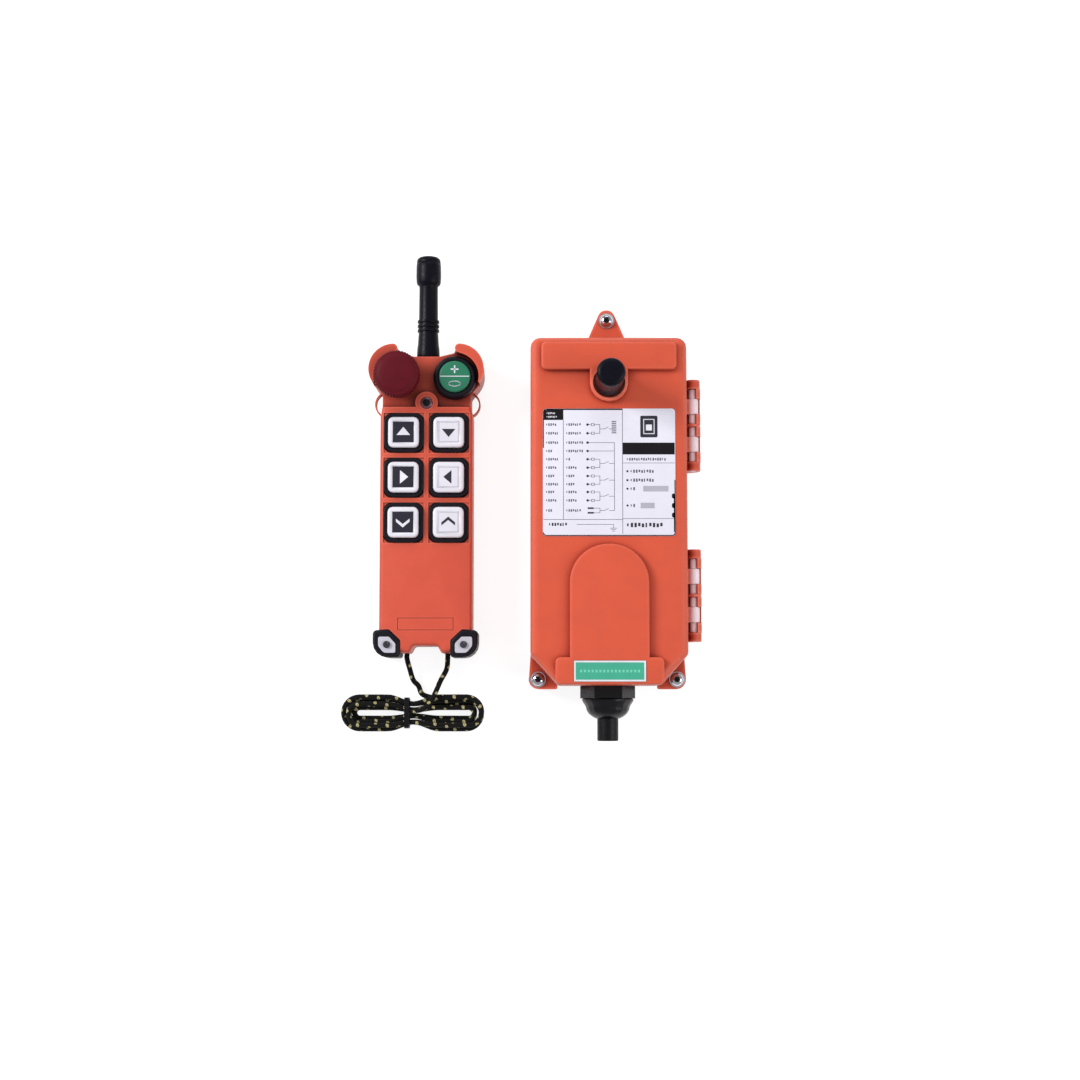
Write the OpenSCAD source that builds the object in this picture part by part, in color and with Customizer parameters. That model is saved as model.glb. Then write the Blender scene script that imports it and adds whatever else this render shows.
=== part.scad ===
// Radio remote control for a crane: a hand-held transmitter with a lanyard and its wired receiver.
// Both lie on their backs. X runs to the right and Y towards the aerials, seen from the front.

/* [Handset] */
// Width of the handset's body
handset_w = 57.2; // [54:0.2:62]
// Length of the handset from its bumpers to the top of its ears
handset_l = 192.9; // [189.1:0.2:201.1]
// Thickness of the handset's body
handset_t = 30; // [28:0.5:34]
// Height of the seam between the rear and front shells
handset_seam_z = 14; // [13:0.5:15]
// Wall of the handset's shells
handset_wall = 2.2; // [1.8:0.1:2.6]
// Radius of the moulded ear round each round button
ear_r = 15.2; // [14.8:0.1:15.6]
// Height of the guard rims above the front face
guard_rise = 7; // [4:0.5:7]
// Depth of the sunk floor round the two round buttons
valley_depth = 3.5; // [2.5:0.5:4]

/* [Push buttons] */
// Distance between neighbouring push buttons, centre to centre
button_pitch = 27.9; // [27:0.1:29]
// Side of a square button cap
cap_w = 19; // [17:0.2:20]
// Height of a cap above the front face
cap_rise = 4; // [3:0.2:5]
// Travel of a push button
cap_travel = 2; // [1:0.2:2]
// Side of the square well that a rubber boot sits in
well_w = 25; // [24.6:0.1:25.4]
// Depth of the well
well_depth = 2; // [1.5:0.1:2.5]

/* [Stop and start buttons] */
// Distance from the centreline to each round button
round_x = 17.6; // [17.2:0.1:18]
// Radius of the stop mushroom
stop_r = 14.3; // [13:0.1:14.4]
// Height of the stop mushroom's head
stop_head_h = 12; // [10:0.5:14]
// Travel of the stop mushroom
stop_travel = 4; // [3:0.5:4]
// Radius of the green start button
start_r = 9.8; // [9:0.1:10]
// Outer radius of the start button's rubber ring
start_ring_r = 13.4; // [12.6:0.1:13.6]

/* [Aerials] */
// Length of the handset's rubber aerial outside the body
whip_l = 66.1; // [54.1:0.5:84.1]
// Radius of the rubber aerial's shaft
whip_r = 5.6; // [5:0.1:6]
// Height of the receiver's stub aerial above the cover's raised band
stub_h = 36; // [24:1:45]
// Radius of the stub aerial
stub_r = 8.9; // [8:0.1:9.2]

/* [Lanyard] */
// Diameter of the lanyard
cord_d = 3.2; // [3:0.1:3.4]
// Distance from a lanyard hole to the centreline
lanyard_x = 12.7; // [12.5:0.1:12.9]

/* [Receiver] */
// Width of the receiver's case
receiver_w = 95; // [92:0.5:100]
// Length of the receiver's case
receiver_l = 211.3; // [206:0.5:220]
// Height of the case's rear face above the mounting surface
receiver_lift = 6; // [5:0.5:7]
// Height of the seam between case and cover
receiver_seam_z = 38; // [38:0.5:40]
// Height of the cover's front face
receiver_front_z = 56; // [54:0.5:60]
// Wall of the case and of the cover
receiver_wall = 2.5; // [2:0.1:3]
// Height of the raised bands on the cover
band_rise = 4; // [2:0.5:5]
// Half the width of the arched plateau
arch_r = 23.9; // [20:0.1:26]
// Distance from the case's right side to the hinge axis
hinge_out = 4.5; // [4.4:0.1:4.8]
// Length of one hinge
hinge_l = 56; // [54:0.5:60]
// Greatest opening of the cover, in degrees
cover_opening = 90; // [60:5:90]

/* [Mounting] */
// Distance between the two lower mounting screws
mount_pitch = 85.8; // [84:0.2:90]
// Diameter of the mounting screws
mount_d = 5; // [4:0.5:6]
// Radius of a rubber buffer
buffer_r = 5.8; // [5.4:0.1:5.8]
// Height of a rubber buffer
buffer_h = 12; // [11:0.5:13]
// Radius of the cable gland's hexagon, over its corners
gland_r = 17; // [16:0.2:17]
// Radius of the cable
cable_r = 6.5; // [5:0.1:7]

/* [Layout] */
// Distance between the centrelines of handset and receiver
pair_pitch = 112; // [106:0.5:130]
// How far the handset's lower end lies above the receiver's
pair_stagger = 17.3; // [10:0.1:24]

/* [Hidden] */
$fn = 48;

// General
gap = 0.3;            // clearance between pieces that only lie near each other
fit = 0.05;           // radial clearance of a running fit
over = 1;             // overrun of every cut
edge_steps = 3;       // facets across a rounded edge

orange = "#d85c42";
black = "#23222a";
white = "#e6e4ee";
grey = "#a8a3b2";
steel = "#c9cad0";
green = "#1f7d5e";

// Handset: heights
front_z = handset_t;
valley_z = front_z - valley_depth;
guard_z = front_z + guard_rise;
board_t = 1.6;
board_z = 8;
board_top_z = board_z + board_t;
roof_z = valley_z - handset_wall;

// Handset: outline, from its lower end upwards
leg_y = 2.8;
notch_y = 7.1;
notch_x = 7.4;
leg_x = 9.8;
foot_r = 7;
neck_x = handset_w / 2 - 1.2;
neck_y = handset_l - 42.1;
ear_y = handset_l - ear_r;
ear_x = round_x + 2.5;
guard_r = ear_r + 0.3;
ear_in = 2;           // step of the top edge beside each ear
ear_step = 2.2;
guard_end_r = 2.7;    // rounding of a guard's inner end
top_y = ear_y + ear_r - 5.9;
ear_low_turn = -40;   // angle at which the ear's arc leaves for the neck
shell_edge = 3;       // rounding of the handset's long edges

// Handset: what the shells carry
top_row_y = handset_l - 54.3;
button_rows = [for (k = [0:2]) top_row_y - k * button_pitch];
button_x = button_pitch / 2;
round_y = handset_l - 19.9;
led_y = handset_l - 35.5;
led_boss_r = 7;
led_r = 3.9;
valley_y = led_y - 2.6;
guard_root = 6;
cavity_y = 19;
cell_r = 7.1;
cell_l = 50;
cell_y = cavity_y + 1.5;
cell_gap = 0.4;
cell_z = handset_wall + 0.3 + cell_r;
board_y = cell_y + cell_l + 3;
board_end_y = top_y - 8.6;
board_w = 2 * (neck_x - handset_wall - 1);
shell_screw_r = 1.5;
shell_boss_r = 3.4;
shell_screw_x = handset_w / 2 - handset_wall - shell_boss_r + 0.6;
shell_screw_ys = [button_rows[2] - button_pitch / 2, button_rows[1] + button_pitch / 2];
shell_head_r = 2.7;
shell_head_h = 2;

// Strap loops beside the neck
loop_t = 0.9;
loop_z = [5, 25];
loop_r = 8.5;
loop_at = [neck_x - 2.9, neck_y + 7.5];

// Push buttons
boot_w = well_w - 0.6;
boot_r = 6;
boot_rise = 1.5;
cap_r = 3.2;
cap_clear = 0.3;
stem_r = 6.5;
plate_w = 12.8;
plate_t = 0.5;
well_z = front_z - well_depth;
cap_z = front_z + cap_rise;
cap_low_z = well_z + cap_travel + 0.2;
key_h = 3;
key_w = 12;
stem_low_z = board_top_z + key_h + cap_travel + 0.3;

// Start and stop buttons
start_z = front_z + 6;
start_ring_z = front_z + 4.5;
start_stem_r = 6;
stop_collar_r = 11;
stop_collar_z = front_z + 3;
stop_stem_r = 6;
stop_pin_r = 4;
stop_pin_h = 7;
stop_head_z = stop_collar_z + stop_travel + 0.6;
stop_block_w = 14;
stop_block_h = 4;
stop_block_z = board_top_z + stop_block_h;
stop_foot_z = roof_z - 2.3;
stop_foot_r = stop_stem_r + 1.4;
stop_rod_r = 2.4;
spring_r = 4.2;
spring_wire_r = 0.45;
spring_turns = 4;
grip_notches = 24;
grip_r = 1;
start_block_w = 12;

// Whip aerial: lengths along it as shares of its length, radii from its shaft
whip_tip_y = top_y + whip_l;
whip_z = handset_seam_z;
whip_root_r = whip_r + 1.4;
whip_cap_r = whip_r + 2;
whip_ring_r = whip_r + 1.1;
whip_root_share = 0.14;
whip_rings_share = 0.25;
whip_cap_share = 0.715;
whip_top_round = 1.8;
socket_r = 5;
socket_l = 7.5;

// Bumpers at the lower corners
bumper_out = handset_w / 2 + 3.6;
bumper_in = 15.4;
bumper_h = 17.2;
bumper_z = [1, front_z + 1.4];
bumper_plate_t = 0.8;
bumper_plate_mid = [23.5, 7.8];
bumper_screw_r = 2.2;

// Lanyard
cord_r = cord_d / 2;
cord_sides = 8;
hank_sides = 6;
hole_deep = 6;
hole_z = 7;
lead_clear = 0.15;
hank_centre = [-8.5, -34];     // from the handset's lower end
hank_half = 43.4;              // half its length, along the cord's line
hank_bend = 9.9;               // half its width, along the cord's line
hank_step = cord_d + 1.2;     // from one turn to the next
hank_lift = cord_d + 0.6;      // from one layer to the next
hank_waist = [5.62, 1.86];     // outer and inner runs at the waist
hank_pinch_l = 16;             // half the length of the drawn-in stretch
hank_runs = 11;                // straight runs, four to a layer
hank_run_rings = 12;
hank_start_x = 16;
hank_end_x = -7;
hank_floor = 0.65;              // the tie's strip under the cord
lead_turn = 6.8;               // radius at which a lead turns into the hank
lead_mid = [[-11, -7, 5.2], [-9, -13.5, 3.2]];
lead_back = [[12, -7, 7.6], [8.5, -14, 10.5], [3.5, -25.5, 14], [-1.5, -31.3, 14]];
tie_w = 3;
tie_t = 1;
tie_x = -4;

// Receiver: heights
base_z = receiver_lift;
case_floor_z = base_z + receiver_wall;
band_z = receiver_front_z + band_rise;
cover_roof_z = receiver_front_z - receiver_wall;
cover_edge = 5;
band_edge = 1.5;
seal_t = 0.8;

// Receiver: outline
corner_r = 6;
cut_y = 18.5;
cut_x = receiver_w / 2 - 16.5;
ear_hole_x = mount_pitch / 2;
ear_hole_y = 4;
mount_ear_r = 6.1;
mount_ear_t = 5;
tab_y = receiver_l + 17.4;
tab_up = 6.9;
tab_end = 3.6;
tab_root = 16.7;

// Receiver: cover features
band_w = 82;
band_low_y = receiver_l - 20.9;
band_top_y = receiver_l - 3.8;
boss_r = 11.6;
stub_y = receiver_l - 28.7;
stub_seat_r = stub_r + 0.8;
stub_seat_z = receiver_front_z - 1;
arch_top_y = 84.8;
foot_band_w = 65.2;
foot_band_y = 16.8;
label_w = 80;
label_l = 77.4;
label_mid_y = 128.2;
label_t = 0.4;
supply_w = 43;
supply_l = 12.5;
supply_y = 8.4;

// Hinges
lug_r = hinge_out - 0.4;
pin_r = 1.95;
barrel_r = lug_r - 0.5;
hinge_x = receiver_w / 2 + hinge_out;
hinge_z = receiver_seam_z + 3;
hinge_ys = [54.4, 158.5];
small_gap = 5.9;
large_gap = 9.3;
mid_web = 1.6;
clip_l = 2 * small_gap + large_gap;
lug_t = (hinge_l - 2 * clip_l - mid_web) / 2 - 2 * gap;
arm_t = 2.2;
arm_pad_h = 8;
lug_web_h = 9;

// Gland and cable
gland_z = 20.6;
gland_hex_l = 7.8;
gland_nut_l = 12.5;
gland_thread_r = 11;
gland_lock_r = 13;
gland_lock_l = 5;
gland_bore_r = cable_r + 2;
cable_out = 33.8;
cable_in = 9;

// Mounting screws and buffers
ear_z = buffer_h;
screw_head_r = 4.9;
screw_head_h = 3.6;
washer_t = 0.8;
screw_deep = 5;
buffer_hole = 5.5;

// Receiver board
rboard_z = case_floor_z + 6;
rboard_w = receiver_w - 2 * receiver_wall - 5;
rboard_y = 27;
rboard_l = receiver_l - rboard_y - receiver_wall - 6;
rboard_top = rboard_z + board_t;
post_r = 3.2;
post_inset = 5;
relay_size = [15.5, 19, 15.4];
relay_pitch = 20.5;
relay_y = 66;
transformer_size = [38, 34, 27];
terminal_size = [66, 11, 13];
module_size = [30, 22, 6];

// Places of the two devices: the origin is at the bottom centre of the pair
handset_reach = max(ear_x + guard_r, bumper_out);
pair_w = handset_reach + pair_pitch + receiver_w / 2 + hinge_out + lug_r;
handset_x = handset_reach - pair_w / 2;
receiver_x = handset_x + pair_pitch;
pair_l = whip_tip_y + pair_stagger + cable_out;
handset_y = pair_l / 2 - whip_tip_y;
receiver_y = handset_y - pair_stagger;

// Unit vector from a to b
function towards(a, b) = (b - a) / norm(b - a);
function outward(a, b) = let (d = towards(a, b)) [d[1], -d[0]];
function place(c) = [c[0], c[1]];

// A loop of corners [x, y, radius], anticlockwise, moved inwards by d
function inset_corners(c, d) = let (n = len(c)) [for (i = [0:n - 1])
    let (a = place(c[(i + n - 1) % n]), p = place(c[i]), b = place(c[(i + 1) % n]),
         n1 = outward(a, p), n2 = outward(p, b), q = p - (n1 + n2) * d / (1 + n1 * n2))
    [q[0], q[1], cross(p - a, b - p) > 0 ? max(c[i][2] - d, c[i][2] / 8) : c[i][2] + d]];

// The loop with each corner rounded to its radius: more points on a wide arc
function corner_steps(r) = r > 12 ? 14 : r > 5 ? 4 : r > 2.4 ? 3 : 2;
function rounded(c, like) = let (n = len(c)) [for (i = [0:n - 1])
    let (a = place(c[(i + n - 1) % n]), p = place(c[i]), b = place(c[(i + 1) % n]),
         u = towards(p, a), v = towards(p, b), half = acos(u * v) / 2, r = c[i][2],
         mid = p + (u + v) / norm(u + v) * r / sin(half),
         s = p + u * r / tan(half) - mid, start = atan2(s[1], s[0]),
         sweep = (180 - 2 * half) * (cross(p - a, b - p) > 0 ? 1 : -1), steps = corner_steps(like[i][2]))
    for (k = [0:steps]) mid + r * [cos(start + sweep * k / steps), sin(start + sweep * k / steps)]];
function outline(c) = rounded(c, c);
function mirrored(c) = concat(c, [for (i = [len(c) - 1:-1:0]) [-c[i][0], c[i][1], c[i][2]]]);

// Skin through rings of equally many points
module loft(rings) {
    n = len(rings[0]);
    m = len(rings);
    polyhedron(
        points = [for (ring = rings) each ring],
        faces = concat(
            [[for (i = [0:n - 1]) i]],
            [for (k = [0:m - 2], i = [0:n - 1]) each
                let (a = k * n + i, b = k * n + (i + 1) % n) [[a, b + n, b], [a, a + n, b + n]]],
            [[for (i = [0:n - 1]) m * n - 1 - i]]));
}

// A slab of the given outline from z0 to z1 whose edge at z1 is rounded, also when z1 is below z0
module soft_slab(c, z0, z1, edge) {
    up = z1 > z0 ? 1 : -1;
    levels = concat([[z0, 0]], [for (k = [0:edge_steps]) let (a = 90 * k / edge_steps)
        [z1 - up * edge * (1 - sin(a)), edge * (1 - cos(a))]]);
    order = up > 0 ? [0:len(levels) - 1] : [len(levels) - 1:-1:0];
    loft([for (k = order) [for (p = rounded(inset_corners(c, levels[k][1]), c)) [p[0], p[1], levels[k][0]]]]);
}

// The same for an outline with hollows: a plain slab with a closed band taken off round its edge
module edge_band(c, z1, edge, up) {
    levels = concat([for (k = [0:edge_steps]) let (a = 90 * k / edge_steps)
        [z1 - up * edge * (1 - sin(a)), edge * (1 - cos(a))]],
        [[z1 + up * over, edge], [z1 + up * over, -over], [z1 - up * edge, -over]]);
    rings = [for (v = levels) [for (p = rounded(inset_corners(c, v[1]), c)) [p[0], p[1], v[0]]]];
    n = len(rings[0]);
    m = len(rings);
    polyhedron(points = [for (ring = rings) each ring],
        faces = [for (k = [0:m - 1], i = [0:n - 1]) each
            let (a = k * n + i, b = k * n + (i + 1) % n, d = (k + 1) % m * n + i,
                e = (k + 1) % m * n + (i + 1) % n) up > 0 ? [[a, b, e], [a, e, d]] : [[a, e, b], [a, d, e]]]);
}
module edged_slab(c, z0, z1, edge) difference() {
    plain_slab(c, min(z0, z1), max(z0, z1));
    edge_band(c, z1, edge, z1 > z0 ? 1 : -1);
}

module plain_slab(c, z0, z1)
    translate([0, 0, z0]) linear_extrude(z1 - z0) polygon(outline(c));

module ring_slab(c, d0, d1, z0, z1) difference() {
    plain_slab(inset_corners(c, d0), z0, z1);
    plain_slab(inset_corners(c, d1), z0 - over, z1 + over);
}

module rod(r, z0, z1, at = [0, 0]) translate([at[0], at[1], z0]) cylinder(r = r, h = z1 - z0);
module block(w, l, z0, z1, at = [0, 0])
    translate([at[0] - w / 2, at[1] - l / 2, z0]) cube([w, l, z1 - z0]);

function square_corners(w, l, r, at = [0, 0]) = [
    [at[0] + w / 2, at[1] - l / 2, r], [at[0] + w / 2, at[1] + l / 2, r],
    [at[0] - w / 2, at[1] + l / 2, r], [at[0] - w / 2, at[1] - l / 2, r]];

// A tube of sides round a line of points
function line_way(p, i) = towards(p[max(i - 1, 0)], p[min(i + 1, len(p) - 1)]);
function carried(a, t) = let (b = a - (a * t) * t) b / norm(b);
function side_ways(p, i, a) = i >= len(p) ? [] :
    let (b = carried(a, line_way(p, i))) concat([b], side_ways(p, i + 1, b));
module tube(p, r, sides, first = [0, 0, 1]) {
    ways = side_ways(p, 0, first);
    loft([for (i = [0:len(p) - 1]) let (t = line_way(p, i), a = ways[i], b = cross(t, a))
        [for (k = [0:sides - 1]) p[i] + r * (cos(360 * k / sides) * a + sin(360 * k / sides) * b)]]);
}

// A smooth line through chosen points
function spline(p, steps) = concat([for (i = [0:len(p) - 2], k = [0:steps - 1])
    let (t = k / steps, a = p[max(i - 1, 0)], b = p[i], c = p[i + 1], d = p[min(i + 2, len(p) - 1)])
    (2 * b + (c - a) * t + (2 * a - 5 * b + 4 * c - d) * t * t + (3 * b - a - 3 * c + d) * t * t * t) / 2],
    [p[len(p) - 1]]);

module in_handset() translate([handset_x, handset_y, 0]) children();
module in_receiver() translate([receiver_x, receiver_y, 0]) children();

// Handset outline
function ear_corner(angle) = let (far = ear_r / cos((90 - ear_low_turn) / 2))
    [ear_x + far * cos(angle), ear_y + far * sin(angle), ear_r];
ear_leave = [ear_x + ear_r * cos(ear_low_turn), ear_y + ear_r * sin(ear_low_turn)];
neck_top_y = ear_leave[1] - (ear_leave[0] - neck_x) * tan(ear_low_turn + 90);
handset_corners = mirrored([
    [notch_x, notch_y, 2], [leg_x, leg_y, 1], [handset_w / 2, leg_y, foot_r],
    [handset_w / 2, neck_y, 8], [neck_x, neck_y + 4.5, 8], [neck_x, neck_top_y, 2],
    ear_corner((90 + ear_low_turn) / 2),
    [ear_x - ear_in, ear_y + ear_r, 2.4], [ear_x - 1.5 * ear_in, top_y + ear_step, 1.5], [whip_root_r + 1, top_y, 4]]);
bumper_corners = [[bumper_out, 0, 9], [bumper_out, bumper_h - 0.7, 2.2], [22.4, bumper_h, 2.2],
    [bumper_in, bumper_h - 6.6, 2], [bumper_in, 0, 1.6]];
bumper_plate_corners = [[28.8, 7, 3], [28.8, 12.6, 1], [22.2, 12.6, 1.6], [18.2, 8.4, 1.6],
    [18.2, 2.7, 1], [25.4, 2.7, 3.2]];
cavity_corners = mirrored([
    [handset_w / 2 - handset_wall, cavity_y, 2], [handset_w / 2 - handset_wall, neck_y, 8],
    [neck_x - handset_wall, neck_y + 4.5, 8], [neck_x - handset_wall, top_y - handset_wall, 2]]);

module button_places() for (y = button_rows, s = [-1, 1]) translate([s * button_x, y, 0]) children();
module shell_screw_places() for (y = shell_screw_ys, s = [-1, 1]) translate([s * shell_screw_x, y, 0]) children();
module both_sides() for (s = [0, 1]) mirror([s, 0, 0]) children();

module ear_rooms(z0, z1) both_sides() rod(ear_r - handset_wall, z0, z1, [ear_x, ear_y]);

module guards() both_sides() {
    difference() {
        rod(guard_r, valley_z - guard_root, guard_z, [ear_x, ear_y]);
        rod(stop_r + 0.6, valley_z - 0.5, guard_z + over, [round_x, round_y]);
        rod(ear_r - handset_wall, valley_z - guard_root - over, valley_z - 0.5, [ear_x, ear_y]);
        block(2 * ear_r, 4 * ear_r, valley_z - guard_root - over, guard_z + over, [ear_x - ear_r + 0.4, ear_y]);
        translate([ear_x, ear_y, 0]) rotate(0.85 * ear_low_turn)
            block(4 * ear_r, 2 * ear_r, valley_z - guard_root - over, guard_z + over, [0, -ear_r]);
    }
    rod(guard_end_r, valley_z - 0.5, guard_z, [ear_x + 0.4, ear_y + guard_r - guard_end_r]);
}

module valley_cut() difference() {
    translate([-handset_w, valley_y, valley_z]) cube([2 * handset_w, handset_l, handset_t]);
    rod(led_boss_r, valley_z - over, front_z + over, [0, led_y]);
}

module front_shell_body() {
    difference() {
        edged_slab(handset_corners, handset_seam_z, front_z, shell_edge);
        valley_cut();
    }
    guards();
}

module handset_front_shell() color(orange) in_handset() difference() {
    union() {
        difference() {
            front_shell_body();
            plain_slab(cavity_corners, handset_seam_z - over, roof_z);
            ear_rooms(handset_seam_z - over, roof_z);
        }
        shell_screw_places() rod(shell_boss_r, handset_seam_z, roof_z + 0.5);
        strap_loops(handset_seam_z + gap, loop_z[1]);
    }
    button_places() {
        translate([0, 0, well_z]) linear_extrude(well_depth + over) square(well_w, center = true);
        rod(stem_r + gap, handset_seam_z, front_z);
    }
    rod(start_stem_r + gap, handset_seam_z, front_z, [round_x, round_y]);
    rod(stop_stem_r + gap, handset_seam_z, front_z, [-round_x, round_y]);
    rod(led_r, front_z - 1.5, front_z + over, [0, led_y]);
    rod(led_r - 1, handset_seam_z, front_z, [0, led_y]);
    shell_screw_places() rod(shell_screw_r, handset_seam_z - over, handset_seam_z + 7);
    socket_cut();
    bumper_cuts();
    label_frame_cut();
}

module socket_cut() translate([0, top_y + over, whip_z]) rotate([90, 0, 0])
    cylinder(r = socket_r + gap, h = handset_wall + 12);

module bumper_cuts() both_sides() plain_slab(inset_corners(bumper_corners, -0.1), -over, guard_z);

label_frame = [34.5, 7.8];
label_frame_y = 20.4;
label_frame_line = 0.5;
label_frame_deep = 0.3;
module label_frame_cut() difference() {
    block(label_frame[0], label_frame[1], front_z - label_frame_deep, front_z + over, [0, label_frame_y]);
    block(label_frame[0] - 2 * label_frame_line, label_frame[1] - 2 * label_frame_line,
        front_z - over, front_z + 2 * over, [0, label_frame_y]);
}

door_w = 34;
door_y = [cavity_y + 1, cell_y + cell_l + 1];
door_mid = (door_y[0] + door_y[1]) / 2;
door_l = door_y[1] - door_y[0];
door_lip = 1.2;
door_screw_r = 3.5;
door_screw_y = door_y[1] + 2.6;
module strap_loops(z0, z1) both_sides() difference() {
    rod(loop_r, z0, z1, loop_at);
    rod(loop_r - loop_t, z0 - over, z1 + over, loop_at);
    block(2 * loop_r, 4 * loop_r, z0 - over, z1 + over, [neck_x - 0.6 - loop_r, loop_at[1]]);
}
module handset_rear_shell() color(orange) in_handset() difference() {
    union() {
        difference() {
            edged_slab(handset_corners, handset_seam_z, 0, shell_edge);
            plain_slab(cavity_corners, handset_wall, handset_seam_z + over);
            ear_rooms(handset_wall, handset_seam_z + over);
        }
        shell_screw_places() rod(shell_boss_r, over, handset_seam_z);
        both_sides() rod(shell_boss_r, over, board_z, [shell_screw_x, board_end_y - 4]);
        rod(shell_boss_r, over, handset_wall + 4, [0, door_screw_y]);
        strap_loops(loop_z[0], handset_seam_z - gap);
    }
    block(door_w, door_l, -over, handset_wall - 1, [0, door_mid]);
    block(door_w - 2 * door_lip, door_l - 2 * door_lip, -over, handset_wall + over, [0, door_mid]);
    rod(door_screw_r + 0.1, -over, 2.1, [0, door_screw_y]);
    rod(shell_screw_r, 0, handset_wall + 4 + over, [0, door_screw_y]);
    shell_screw_places() {
        rod(shell_head_r + 0.1, -over, shell_head_h + 0.2);
        rod(shell_screw_r, 0, handset_seam_z + over);
    }
    socket_cut();
    bumper_cuts();
    lanyard_holes();
    ring_slab(handset_corners, 0.7, 1.5, handset_seam_z - seal_t, handset_seam_z + over);
}

module lanyard_holes() both_sides() translate([lanyard_x, leg_y - over, hole_z]) rotate([-90, 0, 0])
    cylinder(r = cord_r + lead_clear, h = hole_deep + over);

module handset_seal() color(black) in_handset() difference() {
    ring_slab(handset_corners, 0.8, 1.4, handset_seam_z - seal_t, handset_seam_z);
    bumper_cuts();
    socket_cut();
}

module battery_door() color(orange) in_handset() {
    difference() {
        union() {
            block(door_w - 2 * gap, door_l - 2 * gap, 0, handset_wall - 1 - 0.1, [0, door_mid]);
            rod(door_screw_r, 0.6, 2, [0, door_screw_y]);
        }
        rod(shell_screw_r + 0.2, -over, handset_wall, [0, door_screw_y]);
        for (k = door_grips) block(door_grip_w, door_grip_l, -over, 0.4, [0, door_y[0] + k]);
    }
}
door_grips = [5, 7.5, 10];
door_grip_w = 16;
door_grip_l = 1.2;
door_screw_head_r = 2.7;
door_screw_head_h = 0.5;

module battery_door_screw() color(steel) in_handset() translate([0, door_screw_y, 0]) difference() {
    union() {
        rod(door_screw_head_r, 0.1, 0.1 + door_screw_head_h);
        rod(shell_screw_r - 0.05, door_screw_head_h, handset_wall + 3);
    }
    block(0.8, 2 * door_screw_head_r, 0, 0.4);
}

module battery_cells() color("#4c6a8c") in_handset() both_sides()
    translate([cell_r + cell_gap / 2, cell_y, cell_z]) rotate([-90, 0, 0]) {
        cylinder(r = cell_r, h = cell_l - 1.4);
        cylinder(r = 2.6, h = cell_l);
    }

contact_t = 0.5;
contact_w = 10;
module battery_contacts() color(steel) in_handset() {
    for (s = [-1, 1]) translate([s * (cell_r + cell_gap / 2), cell_y + cell_l + contact_t / 2, 0])
        block(contact_w, contact_t, handset_wall, cell_z + 4);
    block(2 * cell_r + contact_w, contact_t, handset_wall, cell_z + 4, [0, cell_y - contact_t / 2 - 0.1]);
}

module handset_board() color("#2f6b3c") in_handset() difference() {
    translate([-board_w / 2, board_y, board_z]) cube([board_w, board_end_y - board_y, board_t]);
    shell_screw_places() rod(shell_boss_r + gap, 0, handset_seam_z);
}

key_plunger_r = 2;
module key_switches() color(black) in_handset() button_places() {
    block(key_w, key_w, board_top_z, board_top_z + key_h);
    rod(key_plunger_r, board_top_z, stem_low_z - cap_travel - 0.1);
}

module_box = [17, 15, 4];
module transmitter_module() color(grey) in_handset() {
    block(module_box[0], module_box[1], board_top_z, board_top_z + module_box[2], [0, board_end_y - 8]);
    block(stop_block_w, stop_block_w, board_top_z, stop_block_z, [-round_x, round_y - 2]);
    block(start_block_w, start_block_w, board_top_z, stop_block_z, [round_x, round_y - 2]);
}

module shell_screws() color(steel) in_handset() shell_screw_places() difference() {
    union() {
        rod(shell_head_r, 0.2, shell_head_h + 0.1);
        rod(shell_screw_r - 0.05, shell_head_h, handset_seam_z + 6);
    }
    block(0.8, 2 * shell_head_r, 0, 1.1);
}

whip_rings = 3;
whip_ring_pitch_share = 0.04;
whip_ring_l_share = 0.022;
module whip_aerial() color(black) in_handset() translate([0, top_y + 0.1, whip_z]) rotate([-90, 0, 0]) {
    rotate_extrude() polygon([
        [0, 0], [whip_root_r, 0], [whip_r + 0.4, whip_l * whip_root_share],
        [whip_r + 0.3, whip_l * whip_rings_share], [whip_r, whip_l * whip_rings_share],
        [whip_r, whip_l * whip_cap_share], [whip_cap_r, whip_l * whip_cap_share],
        [whip_cap_r - 0.6, whip_l - whip_top_round], [whip_cap_r - 2.4, whip_l - 0.1], [0, whip_l - 0.1]]);
    for (k = [0:whip_rings - 1])
        translate([0, 0, whip_l * (whip_rings_share + (k + 0.5) * whip_ring_pitch_share)])
            cylinder(r = whip_ring_r, h = whip_l * whip_ring_l_share);
    translate([0, 0, -socket_l]) cylinder(r = whip_core_r, h = socket_l);
}
whip_core_r = 2.5;

module aerial_socket() color("#b89a4a") in_handset() translate([0, top_y, whip_z]) rotate([90, 0, 0])
    difference() {
        cylinder(r = socket_r, h = socket_l);
        translate([0, 0, -over]) cylinder(r = whip_core_r + fit, h = socket_l + 2 * over);
    }

led_body_r = 2.2;
module status_led() color("#d8d8d0") in_handset() rod(led_body_r, board_top_z, front_z - 1.8, [0, led_y]);
module led_lens() color("#37212a") in_handset() {
    rod(led_r - 0.05, front_z - 1.5, front_z + 0.6, [0, led_y]);
    rod(led_r - 1, front_z + 0.6, front_z + 1.1, [0, led_y]);
}

module button_boots() color(black) in_handset() button_places() difference() {
    translate([0, 0, well_z]) linear_extrude(well_depth + boot_rise)
        polygon(outline(square_corners(boot_w, boot_w, boot_r)));
    translate([0, 0, well_z - over]) linear_extrude(well_depth + boot_rise + 2 * over)
        polygon(outline(square_corners(cap_w + 2 * cap_clear, cap_w + 2 * cap_clear, cap_r + cap_clear)));
}

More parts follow.
